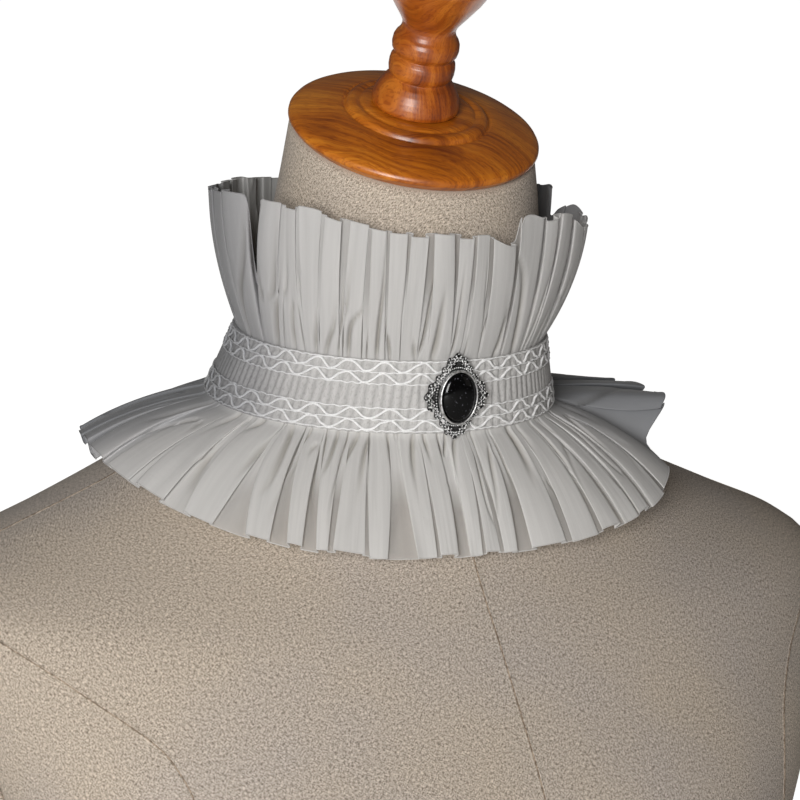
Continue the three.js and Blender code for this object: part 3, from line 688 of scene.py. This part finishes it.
def wood_material(name, piece, turn):
    """Varnished hardwood: fine grain lines that bend a little, short pores, and a satin coat."""
    n = Nodes(name)
    at = n.mapped(n.place(), turn=turn)
    bend = n.math("MULTIPLY", n.noise(at, GRAIN["waver"], detail=2), GRAIN["bend"])
    bent = n.add("VectorMath", {0: at, 1: n.add("CombineXYZ", dict(Y=bend))}, operation="ADD")
    lines = n.noise(bent, GRAIN["lines"], roughness=0.6)
    broad = n.noise(bent, GRAIN["broad"])
    pores = n.noise(bent, GRAIN["pores"], detail=1)
    mixed = n.weighted((lines, 0.34), (broad, 0.34), (n.noise(at, GRAIN["clouds"], detail=2), 0.32))
    tone = n.ramp(mixed, *zip(WOOD_STOPS, WOOD_TONES[piece]))
    pore = n.ramp(pores, (0.34, (0.74, 0.64, 0.55)), (0.46, (1.0, 1.0, 1.0)))
    n.bump(lines, 0.0003, strength=0.3)
    tone = n.multiplied(tone, pore)
    return n.done(tone, Roughness=0.42, Coat_Weight=0.7, Coat_Roughness=0.3, Specular_IOR_Level=0.4)


def metal_material(name, base, dark, roughness):
    """Antique silver, darker where the polish never reaches."""
    n = Nodes(name)
    wear = n.noise(n.place(), NOISE_SCALE["wear"], roughness=0.6)
    n.bump(wear, 0.0001)
    tone = n.ramp(wear, (0.35, (dark, dark, dark)), (0.60, (base, base, base)))
    return n.done(tone, Metallic=1.0, Roughness=roughness)


def stone_material(name):
    """Polished black stone with a few small grey specks."""
    n = Nodes(name)
    specks = n.noise(n.place(), NOISE_SCALE["specks"], detail=2)
    tone = n.ramp(specks, (0.64, JET_BLACK), (0.74, JET_SPECK))
    return n.done(tone, Roughness=0.1, Specular_IOR_Level=0.3)


# ---- dress form
def plate_x(z):
    return ARMHOLE["outer_x"] - (ARMHOLE["at_z"] - z) * ARMHOLE["slope"]


def form_points(angle, z):
    """Points of the form's skin, from the turn round it in radians and the height from the collar's seat."""
    power = 2 / form_value("squareness", z)
    across = np.sign(np.cos(angle)) * np.abs(np.cos(angle)) ** power
    ahead = np.sign(np.sin(angle)) * np.abs(np.sin(angle)) ** power
    x = form_value("side", z) * across
    cut = (z < ARMHOLE["top_z"]) & (z > ARMHOLE["bottom_z"])
    x = np.where(cut, np.clip(x, -plate_x(z), plate_x(z)), x)
    y = np.where(ahead < 0, form_value("front", z), form_value("back", z)) * ahead
    aside = (np.abs(x) - BUST["out"]) / BUST["spread"]
    above = (z - BUST["z"]) / BUST["drop"]
    y = np.where(ahead < 0, y - BUST["high"] * np.exp(-aside * aside - above * above), y)
    lean = np.radians(form_value("tilt", z))
    points = (x, form_value("middle", z) + y * np.cos(lean), z + y * np.sin(lean))
    return SEAT + np.stack(np.broadcast_arrays(*points), -1)


def build_form():
    bottom = FORM_SECTIONS["z"][0]
    top = FORM_SECTIONS["z"][-1]
    levels = np.linspace(bottom, top, int((top - bottom) / FORM_STEP) + 1)
    turn = np.linspace(0, 1, FORM_RING, endpoint=False)
    points = form_points(TURN * turn[None, :], levels[:, None])
    # Both directions of the cloth are measured along the skin: round it from the centre front, and up it.
    front = 3 * FORM_RING // 4
    ring = np.roll(points, -front, axis=1)
    around_skin = np.linalg.norm(np.diff(ring, axis=1, append=ring[:, :1]), axis=2)
    length = np.cumsum(around_skin, axis=1) - around_skin
    half = length[:, FORM_RING // 2][:, None]
    signed = np.where(length > half, length - around_skin.sum(1)[:, None], length)
    up_skin = np.linalg.norm(np.diff(points, axis=0, prepend=points[:1]), axis=2)
    uvs = cloth_places(np.roll(signed, front, axis=1), np.cumsum(up_skin, axis=0))
    uvs = np.concatenate((uvs, np.zeros((2, 2))))
    ends = np.stack((points[0].mean(0), points[-1].mean(0)))
    obj = add_piece("form_skin", fanned(points, ends), LINEN, uvs)
    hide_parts("dress_form")


def lifted(angle, z, lift):
    """A point of the form's skin, moved out from it by lift."""
    along = form_points(angle + SKIN_TURN, z) - form_points(angle - SKIN_TURN, z)
    up = form_points(angle, z + SKIN_RISE) - form_points(angle, z - SKIN_RISE)
    normal = np.cross(along, up)
    normal /= np.linalg.norm(normal, axis=-1, keepdims=True)
    return form_points(angle, z) + normal * lift


def front_seam(side, line, start, end):
    """A seam on the form's front, which runs as its table says. It gives its line for a shift and a lift."""

    def points_at(share, shift, lift):
        z = start + (end - start) * share
        x = side * (between(line["z"], line["x"], z) + shift)
        out = np.clip(np.abs(x) / form_value("side", z), 0, 1) ** (form_value("squareness", z) / 2)
        return lifted(-np.arccos(np.sign(x) * out), z, lift)

    return points_at


def upright_seam(angle, across, start, end):
    """The same for a seam that stays at one angle. across names the form's size there."""

    def points_at(share, shift, lift):
        z = start + (end - start) * share
        return lifted(angle + shift / form_value(across, z), z, lift)

    return points_at


def seam(points_at, steps=120):
    """Two soft edges side by side, and the stitched line between them."""
    share = np.linspace(0, 1, steps)
    edges = [
        tube(points_at(share, shift, -SEAM["sunk"]), SEAM["welt"], close=False)
        for shift in (-SEAM["apart"], SEAM["apart"])
    ]
    return edges, tube(points_at(share, 0.0, SEAM["raised"]), SEAM["line"], sides=5, close=False)


def build_seams():
    low = FORM_SECTIONS["z"][0] + SEAM_RUNS["foot"]
    armhole = ARMHOLE["bottom_z"] - SEAM_RUNS["under_arm"]
    shoulder = (SEAM_RUNS["shoulder_top"], SEAM_RUNS["shoulder_end"])
    runs = [
        seam(front_seam(1, CENTRE_FRONT, low, SEAM_RUNS["top"])),
        seam(upright_seam(TURN / 4, "back", low, SEAM_RUNS["top"])),
    ]
    for side, flank, line in ((-1, math.pi, PRINCESS_RIGHT), (1, 0, PRINCESS_LEFT)):
        runs.append(seam(front_seam(side, line, line["z"][0], line["z"][-1])))
        runs.append(seam(upright_seam(flank + side * SEAM_RUNS["shoulder_turn"], "side", *shoulder)))
        runs.append(seam(upright_seam(flank, "side", low, armhole), steps=60))
    edges = joined([edge for pair, _ in runs for edge in pair])
    add_piece("form_seams", edges, LINEN, cloth_places(edges[0][:, 0], edges[0][:, 2]))
    add_piece("form_seam_lines", joined([line for _, line in runs]), SEAM_LINE)


def build_arm_plate(side, node):
    """A padded oval with a piped edge, on the flat of the armhole."""
    lean = math.atan(ARMHOLE["slope"])
    basis = np.array(
        (
            (0, side, 0),
            (side * math.sin(lean), 0, math.cos(lean)),
            (side * math.cos(lean), 0, -math.sin(lean)),
        )
    )
    centre = SEAT + np.array((side * plate_x(ARM_PLATE["z"]), ARM_PLATE["middle_y"], ARM_PLATE["z"]))

    def ring(share, height):
        return oval(ARM_PLATE["half_depth"] * share, ARM_PLATE["half_height"] * share, height)

    local, faces = capped([ring(share, GAP + ARM_PLATE["thick"] * rise) for share, rise in PLATE_DOME])
    obj = add_piece(f"{node}_pad", (centre + local @ basis, faces), LINEN, local[:, :2] * MM)
    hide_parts(node)
    edge = centre + ring(PIPING["share"], PIPING["height"]) @ basis
    piping = tube(edge, PIPING["radius"], sides=8)
    add_piece(f"{node}_piping", piping, LINEN, cloth_places(piping[0][:, 1], piping[0][:, 2]))


# ---- turned wood
def lathe(name, profile, material, node, offset=0.0):
    """A turned piece on the form's neck, from its profile, cut finer between the profile's points."""
    radii = profile["radius"]
    heights = profile["height"]
    length = np.concatenate(([0], np.cumsum(np.hypot(np.diff(radii), np.diff(heights)))))
    fine = np.union1d(np.linspace(0, length[-1], LATHE_CUTS * len(radii)), length)[1:-1]
    r = np.maximum(np.interp(fine, length, radii), 0)
    z = np.interp(fine, length, heights)
    turn = np.linspace(0, TURN, LATHE_SIDES, endpoint=False)
    middle = np.array((offset, 0, 0))
    ends = middle + np.array(((0, 0, heights[0]), (0, 0, heights[-1])))
    local, faces = fanned(polar(turn, r[:, None], z[:, None]) + middle, ends)
    lean = math.radians(CAP_SEAT["tilt"])
    turned = np.array(((1, 0, 0), (0, math.cos(lean), math.sin(lean)), (0, -math.sin(lean), math.cos(lean))))
    verts = SEAT + np.array((0, CAP_SEAT["middle"], CAP_SEAT["z"])) + local @ turned
    obj = add_piece(name, (verts, faces), material)
    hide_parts(node)


# ---- ruffles
def upper_smooth(angle, reach):
    """The upper ruffle without its folds: points, the way out from the cloth, and the folds' depth."""
    rim, height, depth = (around(UPPER_EDGE, name, angle) for name in ("radius", "height", "depth"))
    bowl = (1 - BOWL) * reach + BOWL * (1 - (1 - reach) ** 2)
    start = BAND["top"] - BAND["wall"] / 2
    turn = np.radians(angle)
    point = polar(turn, start + (rim - start) * bowl, BAND["height"] + GAP + height * reach, BAND["lean"])
    return point, polar(turn, 1, UPPER_OUT) / math.hypot(1, UPPER_OUT), depth


def lower_smooth(angle, reach):
    """The same for the lower ruffle."""
    hem, height, depth = (around(LOWER_EDGE, name, angle) for name in ("radius", "height", "depth"))
    start = BAND["bottom"] - BAND["wall"] / 2
    run = hem - start
    radius = start + run * ((1 + HEM_CURVE) * reach - HEM_CURVE * reach * reach)
    drop = height * ((1 - HEM_SAG) * reach + HEM_SAG * reach * reach)
    root = ROOT_DROP * np.clip(reach / ROOT_REACH, -1, 1)
    turn = np.radians(angle)
    long = np.hypot(run, height)
    return polar(turn, radius, drop - root), polar(turn, -height / long, run / long), depth


def fold_table(laid, behind, seed):
    """Every fold of a ruffle: the laid ones, then the even ones behind."""
    start = laid["start"]
    end = laid["end"]
    width = (start[0] + 360 - end[-1]) / behind
    number = np.arange(behind)
    sway = BACK_SHARE["sway"]
    wave = BACK_SHARE["step"] * number
    even_start = end[-1] + width * (number + BACK_SHARE["start"] + sway * np.sin(wave))
    even_end = end[-1] + width * (number + BACK_SHARE["end"] + sway * np.sin(wave + BACK_SHARE["lag"]))
    draw = np.random.default_rng(seed)
    uneven = [
        np.concatenate((laid[name], draw.uniform(*limits, behind))) for name, limits in BACK_DRAWS.items()
    ]
    return np.concatenate((start, even_start)), np.concatenate((end, even_end)), *uneven


def softened(values, sigma=FOLD_SOFTNESS):
    """Values that run round the neck, each averaged with its neighbours."""
    reach = int(4 * sigma) + 1
    offsets = np.arange(-reach, reach + 1)
    weights = np.exp(-0.5 * (offsets / sigma) ** 2)
    weights /= weights.sum()
    return sum(weight * np.roll(values, offset) for weight, offset in zip(weights, offsets))


def pleat_profile(folds, tuck_angle):
    """At each step round the cloth: its angle, its shift laid and closed, and how its folds stand there."""
    start, end, step, tilt, gap = folds
    count = len(start)
    valley = (np.concatenate(([end[-1] - 360], end[:-1])) + start) / 2
    after = np.append(valley[1:], valley[0] + 360)
    cloth = np.tile(np.arange(STEPS_PER_FOLD) / STEPS_PER_FOLD, count)
    fold = np.repeat(np.arange(count), STEPS_PER_FOLD)
    keys = PLEAT["cloth"]
    place, tuck, rise = (np.interp(cloth, keys, PLEAT[name]) for name in ("place", "tuck", "rise"))
    low = np.minimum(place.astype(int), 2)

    def placed(stops):
        return stops[low, fold] + (stops[low + 1, fold] - stops[low, fold]) * (place - low)

    laid = placed(np.stack((valley, start, end, after)))
    shut = (valley + CLOSED * (start - valley), after - CLOSED * (after - end))
    closed = placed(np.stack((valley, *shut, after)))
    room = np.minimum(tuck_angle, TUCK_SHARE * (end - start))
    crest = np.clip((rise + 1) / 2, 0, 1)
    nearest = np.where(cloth < 0.5, np.roll(gap, 1)[fold], gap[fold])
    crest_end, wall_end = keys[3:5]
    wall = np.clip((np.abs(cloth - 0.5) - (crest_end - 0.5)) / (wall_end - crest_end), 0, 1)
    fall = np.where(nearest >= FALL["gap"], FALL["depth"] * wall, 0)
    bulge = CREST_BULGE * (1 - (2 * place - 3) ** 2)
    rise = 1 - 2 * nearest * (1 - crest) + crest * (tilt[fold] * (2 * place - 3) + bulge)
    tuck = tuck * np.sqrt(nearest)
    even = 360 * (fold + cloth) / count
    mean = (laid - even).mean()
    total = len(cloth)
    draw = np.random.default_rng(count)
    opening = draw.uniform(OPENING["first"], OPENING["last"], count)
    side = np.where(cloth < 0.5, fold, (fold + 1) % count)
    return (
        360 * np.arange(total) / total + mean,
        softened(laid - even) - mean,
        softened(closed - even) - mean,
        opening[side],
        softened(np.where((place < 1) | (place > 2), 1.0, 0.0)),
        softened(tuck * room[fold]),
        softened(rise),
        softened(step[fold] * crest, 2 * FOLD_SOFTNESS),
        softened(fall),
    )


def down_cloth(smooth, angle, reach):
    """The direction from the seam to the edge along the cloth, where the ruffle's edge is."""
    flat = 0 * (angle + reach)
    near, _, _ = smooth(angle, EDGE_FROM + flat)
    edge, _, _ = smooth(angle, 1 + flat)
    along = edge - near
    return along / np.linalg.norm(along, axis=-1, keepdims=True)


def gather_slits(turn, reach, seed):
    """How deep each point lies in a slit between the gathers, from 0 to 1."""
    across = ripples(turn, GATHERS["slant"] * reach, "gathers", seed)
    steepness = np.abs(np.gradient(across, axis=1)) / GATHERS["flattest"]
    steps_away = across / (GATHERS["flattest"] * np.maximum(steepness, 1))
    slits = np.exp(-((steps_away / GATHERS["width"]) ** 2)) * np.minimum(steepness, 1)
    length = 1 + SLITS["sway"] * ripples(turn, 0 * reach, "slits", seed)
    fade = np.exp(-((reach / (GATHERS["reach"] * np.maximum(length, SLITS["least"]))) ** SLITS["power"]))
    return slits * fade * (SLITS["root"] + (1 - SLITS["root"]) * np.clip(reach / SLITS["root_reach"], 0, 1))


def folded(smooth, profile, fold_depth, reach, seed):
    """A gathered sheet's points, and how far each lies single and down in a slit."""
    even, laid, closed, opening, single, tuck, rise, step, fall = (row[None, :] for row in profile)
    spread = np.clip((reach - opening) / (1 - opening), 0, 1) ** OPENING["power"]
    shift = closed + (laid - closed) * spread
    turn = (np.arange(even.shape[1]) / even.shape[1])[None, :]
    opened = np.clip(reach * TUCK_OPENS["speed"], 0, 1) ** TUCK_OPENS["power"]
    wander = WANDER * ripples(turn, 0 * reach, "wander", seed) * (1 - reach)
    angle = even + shift * (SEAM_KEEP + (1 - SEAM_KEEP) * reach) + tuck * opened + wander
    point, out, depth = smooth(angle, reach + 0 * angle)
    reach = np.maximum(reach, 0)
    growth = np.sin(reach * math.pi / 2) ** FOLD_GROWTH["power"]
    grown = FOLD_GROWTH["root"] + (1 - FOLD_GROWTH["root"]) * growth
    uneven = 1 + sum(height * np.sin(TURN * waves * turn + start) for height, waves, start in UNEVEN)
    creases = ripples(turn, CREASES["slant"] * reach, "creases", seed)
    slits = gather_slits(turn, reach, seed)
    lift = fold_depth * depth * grown * uneven * rise
    lift = lift + CREASES["depth"] * reach * creases - GATHERS["depth"] * slits
    point = point + out * lift[..., None]
    point = point + down_cloth(smooth, angle, reach) * (step * reach**2)[..., None]
    point[..., 2] -= fall * np.clip((reach - FALL["reach"]) / (1 - FALL["reach"]), 0, 1)
    return SEAT + point, np.stack((single * np.clip(SINGLE_FROM * spread, 0, 1), slits), -1)


def build_ruffle(name, node, smooth, folds, kind, flip):
    profile = pleat_profile(folds, TUCK[kind])
    columns = len(profile[0])
    turn = (np.arange(columns) / columns)[None, :]
    reach = (ROOT_INSIDE + (1 - ROOT_INSIDE) * np.linspace(0, 1, RUFFLE_ROWS) ** ROW_POWER)[:, None]
    points, layers = folded(smooth, profile, FOLD_DEPTH[kind], reach, SEEDS[kind])
    step = np.linalg.norm(np.diff(np.concatenate((points, points[:, :1]), 1), axis=1), axis=2)
    hem_length = step[-1].sum()
    width = np.linalg.norm(np.diff(points, axis=0), axis=2).sum(0).mean()
    shape = (points.reshape(-1, 3), grid_faces(RUFFLE_ROWS, columns, flip=flip))
    uvs = cloth_places(turn * hem_length, reach * width)
    obj = add_piece(name, shape, ORGANZA[kind], uvs, layers=layers.reshape(-1, 2))
    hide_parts(node)
    edge_uvs = cloth_places(np.repeat(turn[0] * hem_length, HEM_SIDES), 0)
    hem = add_piece(f"{name}_hem", tube(points[-1], CLOTH, sides=HEM_SIDES), HEM[kind], edge_uvs)


# ---- smocked band
def band_frame(turn, share):
    """Points of the band's outside at a share of its height, and the way out from it."""
    angle = TURN * turn
    inwards = BAND["bottom"] - BAND["top"]
    slope = math.hypot(BAND["height"], inwards)
    radius = BAND["bottom"] - inwards * share
    point = polar(angle, radius, BAND["height"] * share, BAND["lean"] * share)
    return SEAT + point, polar(angle, BAND["height"], inwards) / slope


def in_strip(share):
    inside = 0
    for low, high in STRIPS.values():
        after_low = 1 / (1 + np.exp(-(share - low) / STRIP_EDGE))
        inside = inside + after_low / (1 + np.exp((share - high) / STRIP_EDGE))
    return np.clip(inside, 0, 1)


def tuck_phase(turn, share):
    stray = ripples(turn, TUCKED["slant"] * share, "tucks")
    return BAND["tucks"] * TURN * turn + TUCKED["stray"] * stray


def tuck_height(turn, share):
    """How far the tucked cloth stands out from the bottom of its tucks."""
    phase = tuck_phase(turn, share)
    ridge = np.abs(np.cos(phase / 2)) ** TUCKED["power"]
    row = BAND["height"] * share / STITCH_ROW
    honeycomb = 0.5 + 0.5 * np.cos(math.pi * row + math.pi * np.round(phase / TURN))
    jitter = ripples(turn, TUCKED["jitter_slant"] * share, "jitter") * TUCKED["jitter"]
    stitched = TUCKED["held"] + (1 - TUCKED["held"]) * honeycomb
    strip = in_strip(share)
    return BAND["tuck_depth"] * (ridge * (1 - strip + strip * stitched) + strip * jitter)


def build_band():
    columns = BAND["tucks"] * BAND_STEPS
    turn = (np.arange(columns) / columns)[None, :]
    share = np.linspace(0, 1, BAND_ROWS)[:, None]
    inner_share = np.array(BAND_INSIDE)[:, None]
    point, out = band_frame(turn, share)
    outer = point + out * (tuck_height(turn, share) - BAND["tuck_depth"])[..., None]
    point, out = band_frame(turn, inner_share)
    grid = np.concatenate((outer, point - out * BAND["wall"]))
    heights = np.concatenate((share, inner_share))
    # Across, the cloth's own places follow the tucks, so that its shading does.
    across = tuck_phase(turn, heights) / (TURN * BAND["tucks"]) * GIRTH
    uvs = cloth_places(across, heights * BAND["height"])
    obj = add_piece("smocked_band", looped(grid), SMOCKED, uvs)
    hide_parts("neck_band")


def thread_path(turn, height, seed):
    point, out = band_frame(turn, height / BAND["height"])
    lift = THREAD_DIP * np.sin(BAND["tucks"] * TURN * turn + seed) + THREAD_LIFT
    return point + out * lift[:, None]


def build_threads():
    """In each strip two wavy threads, one above the other, and three straight ones."""
    thick = []
    fine = []
    steps = BAND["tucks"] * THREAD_STEPS
    turn = np.arange(steps) / steps
    still = 0 * turn
    for index, (low, high) in enumerate(STRIPS.values()):
        middle = BAND["height"] * (low + high) / 2
        stray = WAVE["stray"] * ripples(turn, still, "wave_start", index)
        phase = TURN * WAVES * turn + WAVE["start"] * index + stray
        wave = np.cos(phase) - WAVE["flat"] * np.cos(3 * phase)
        for number, offset in enumerate((WAVE_HEIGHT / 2, -WAVE_HEIGHT / 2)):
            height = middle + offset + WAVE_HEIGHT / 2 * wave * WAVE["share"]
            height = height + WAVE["uneven"] * ripples(turn, still, "wave_height", 2 * index + number)
            thick.append(tube(thread_path(turn, height, index), THREAD_RADIUS, sides=7))
        for number, offset in enumerate((WAVE_HEIGHT, 0, -WAVE_HEIGHT)):
            uneven = WAVE["row_uneven"] * ripples(turn, still, "row_height", 3 * index + number)
            height = np.clip(middle + offset + uneven, WAVE["margin"], BAND["height"] - WAVE["margin"])
            fine.append(tube(thread_path(turn, height, number), ROW_RADIUS, sides=5))
    add_piece("smocking_waves", joined(thick), THREAD)
    add_piece("smocking_rows", joined(fine), FINE_THREAD)


# ---- brooch
def brooch_piece(name, shape, material):
    """A piece from points in the brooch's own frame: right, up and out from the band."""
    share = BROOCH["z"] / BAND["height"]
    angle = math.radians(BROOCH["angle"])
    across = math.cos(angle)
    ahead = math.sin(angle)
    radius = BAND["bottom"] + (BAND["top"] - BAND["bottom"]) * share + GAP + BROOCH["stand_off"]
    place = SEAT + np.array((radius * across, radius * ahead - BAND["lean"] * share, BROOCH["z"]))
    basis = np.array(((-ahead, across, 0), (0, 0, 1), (across, ahead, 0)))
    points, faces = shape
    return add_piece(name, (place + points @ basis, faces), material)


def outline(turn, inset, z):
    """Points of the brooch's scalloped outline, with a longer scallop at each of its four ends."""
    side = BROOCH["side_point"] * np.abs(np.cos(turn)) ** POINT_POWER
    point = side + BROOCH["end_point"] * np.abs(np.sin(turn)) ** POINT_POWER
    wave = BROOCH["scallop_depth"] * np.cos(BROOCH["scallops"] * turn)
    x = (BROOCH["half_width"] + point + wave - inset) * np.cos(turn)
    y = (BROOCH["half_height"] + point + wave - inset) * np.sin(turn)
    return np.stack(np.broadcast_arrays(x, y, z), -1)


def round_stone(extra, z, size=1):
    return oval((BROOCH["stone_half_width"] + extra) * size, (BROOCH["stone_half_height"] + extra) * size, z)


def ball(centre, radius, sides=8, rings=5):
    verts = []
    for r in range(rings + 1):
        tilt = math.pi * r / rings
        for c in range(sides):
            a = TURN * c / sides
            verts.append((math.sin(tilt) * math.cos(a), math.sin(tilt) * math.sin(a), math.cos(tilt)))
    return np.array(verts) * radius + np.asarray(centre), grid_faces(rings + 1, sides, flip=True)


def build_beads():
    """Beads in rows round the stone, from the bezel out to the points."""
    parts = []
    draw = np.random.default_rng(SEEDS["beads"])
    for row, (inset, number, radius) in enumerate(BEAD_ROWS):
        for i in range(number):
            a = TURN * (i + 0.5 * (row % 2)) / number
            x, y, _ = outline(np.array(a), inset + draw.uniform(-BEADS["stray"], BEADS["stray"]), 0)
            size = radius * draw.uniform(BEADS["least"], BEADS["most"])
            parts.append(ball((x, y, BEADS["height"] + draw.uniform(0, BEADS["lift"])), size))
    for i in range(BEZEL_BEADS["number"]):
        a = TURN * i / BEZEL_BEADS["number"]
        x = (BROOCH["stone_half_width"] + BEZEL_BEADS["out"]) * math.cos(a)
        y = (BROOCH["stone_half_height"] + BEZEL_BEADS["out"]) * math.sin(a)
        parts.append(ball((x, y, BEZEL_BEADS["height"]), BEZEL_BEADS["radius"]))
    brooch_piece("brooch_beads", joined(parts), SILVER)


def build_scrolls():
    """Small scrolls of wire between the rows of beads."""
    parts = []
    share = np.linspace(0, 1, SCROLL_STEPS)
    for i in range(SCROLLS["number"]):
        a = TURN * (i + 0.5) / SCROLLS["number"]
        x, y, _ = outline(np.array(a), SCROLLS["inset"], 0)
        spin = a + (1 if i % 2 else -1) * TURN * SCROLLS["turns"] * share
        size = SCROLLS["size"] * (1 - SCROLLS["shrink"] * share)
        height = SCROLLS["height"] + SCROLLS["rise"] * share
        path = np.stack((x + size * np.cos(spin), y + size * np.sin(spin), height), -1)
        parts.append(tube(path, SCROLLS["wire"], close=False))
    brooch_piece("brooch_scrolls", joined(parts), SILVER)


def build_brooch():
    turn = np.linspace(0, TURN, BROOCH_SIDES, endpoint=False)
    plate = capped([outline(turn, inset, z) for inset, z in PLATE_STEPS])
    plate = brooch_piece("brooch_plate", plate, DARK_SILVER)
    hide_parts("brooch_setting")
    build_beads()
    build_scrolls()
    rim = looped(np.stack([round_stone(out, z) for out, z in RIM_STEPS]))
    bezel = brooch_piece("brooch_rim", rim, SILVER)
    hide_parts("brooch_bezel")
    foot = CABOCHON["foot"]
    edge = CABOCHON["edge"]
    rings = [round_stone(0, foot)]
    for share in np.linspace(0, 1, CABOCHON["steps"])[:-1]:
        tilt = share * math.pi / 2
        z = foot + edge + (BROOCH["stone_dome"] - edge) * math.sin(tilt)
        rings.append(round_stone(0, z, math.cos(tilt) ** CABOCHON["power"]))
    stone = brooch_piece("black_cabochon", capped(rings), JET)
    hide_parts("brooch_stone")


# ---- camera, light and floor
def add_camera():
    azimuth = math.radians(CAMERA["azimuth"])
    elevation = math.radians(CAMERA["elevation"])
    level = math.cos(elevation)
    back = Vector((math.sin(azimuth) * level, -math.cos(azimuth) * level, math.sin(elevation)))
    right = Vector((math.cos(azimuth), math.sin(azimuth), 0))
    up = back.cross(right)
    roll = math.radians(CAMERA["roll"])
    rolled_right = right * math.cos(roll) + up * math.sin(roll)
    rolled_up = up * math.cos(roll) - right * math.sin(roll)
    aim = Vector(SEAT * MM) + (rolled_right * CAMERA["right"] - rolled_up * CAMERA["down"]) * MM
    data = bpy.data.cameras.new("camera")
    data.lens = CAMERA["lens"]
    camera = bpy.data.objects.new("camera", data)
    turned = Matrix((rolled_right, rolled_up, back)).transposed().to_4x4()
    camera.matrix_world = Matrix.Translation(aim + back * CAMERA["distance"]) @ turned
    bpy.context.scene.collection.objects.link(camera)
    bpy.context.scene.camera = camera


def add_lights():
    target = Vector(LIGHT_TARGET)
    for name, place, size, power, color in LIGHTS:
        data = bpy.data.lights.new(name, "AREA")
        data.size = size
        data.energy = power
        data.color = color
        light = bpy.data.objects.new(name, data)
        light.location = place
        light.rotation_euler = (target - Vector(place)).to_track_quat("-Z", "Y").to_euler()
        bpy.context.scene.collection.objects.link(light)
    world = bpy.data.worlds.new("studio")
    world.use_nodes = True
    background = world.node_tree.nodes["Background"]
    background.inputs["Color"].default_value = (*WORLD_COLOR, 1)
    background.inputs["Strength"].default_value = WORLD_STRENGTH
    bpy.context.scene.world = world


def add_stage(name, corners, glow):
    mesh = bpy.data.meshes.new(name)
    mesh.from_pydata(corners, [], [(0, 1, 2, 3)])
    n = Nodes(name)
    n.set(Base_Color=(0.9, 0.9, 0.9, 1), Roughness=0.9, Emission_Color=(1, 1, 1, 1), Emission_Strength=glow)
    mesh.materials.append(n.material)
    piece = bpy.data.objects.new(name, mesh)
    bpy.context.scene.collection.objects.link(piece)


def add_floor():
    """A plain floor, and a lit sheet of paper that starts behind the form."""
    half = FLOOR_HALF
    add_stage("floor", [(-half, -half, 0), (half, -half, 0), (half, half, 0), (-half, half, 0)], 0.0)
    cos = math.cos(BACKDROP_TURN)
    sin = math.sin(BACKDROP_TURN)
    corners = []
    for end, side in (("near", -1), ("near", 1), ("far", 1), ("far", -1)):
        x = side * BACKDROP[f"{end}_half"]
        y = BACKDROP[end]
        corners.append((x * cos - y * sin, x * sin + y * cos, BACKDROP["lift"]))
    add_stage("backdrop", corners, BACKDROP["strength"])


# ---- build
LINEN = linen_material("linen")
ORGANZA = {kind: organza_material(f"{kind}_organza", kind, 0.90) for kind in CLOTH_WHITE}
HEM = {kind: organza_material(f"{kind}_hem", kind, 0.95, solid=0.85) for kind in CLOTH_WHITE}
SMOCKED = band_material("smocked_organza")
THREAD = thread_material("embroidery_thread")
FINE_THREAD = thread_material("fine_thread")
SEAM_LINE = seam_material("seam_line")
CAP_WOOD = wood_material("cap_wood", "cap", turn=math.radians(42))
FINIAL_WOOD = wood_material("finial_wood", "finial", turn=math.radians(75))
SILVER = metal_material("antique_silver", 0.95, 0.40, 0.42)
DARK_SILVER = metal_material("dark_silver", 0.12, 0.02, 0.45)
JET = stone_material("black_stone")

build_form()
build_seams()
build_arm_plate(1, "arm_plate_left")
build_arm_plate(-1, "arm_plate_right")
lathe("neck_cap_wood", CAP_PROFILE, CAP_WOOD, "neck_cap")
lathe("finial_wood", FINIAL_PROFILE, FINIAL_WOOD, "finial", offset=FINIAL_OFFSET)
build_band()
build_threads()
upper_folds = fold_table(UPPER_FOLDS, UPPER_BEHIND, SEEDS["upper_folds"])
lower_folds = fold_table(LOWER_FOLDS, LOWER_BEHIND, SEEDS["lower_folds"])
build_ruffle("upper_frill", "upper_ruffle", upper_smooth, upper_folds, "upper", flip=False)
build_ruffle("lower_frill", "lower_ruffle", lower_smooth, lower_folds, "lower", flip=True)
build_brooch()
add_camera()
add_lights()
add_floor()
bpy.context.scene.view_settings.view_transform = "Standard"
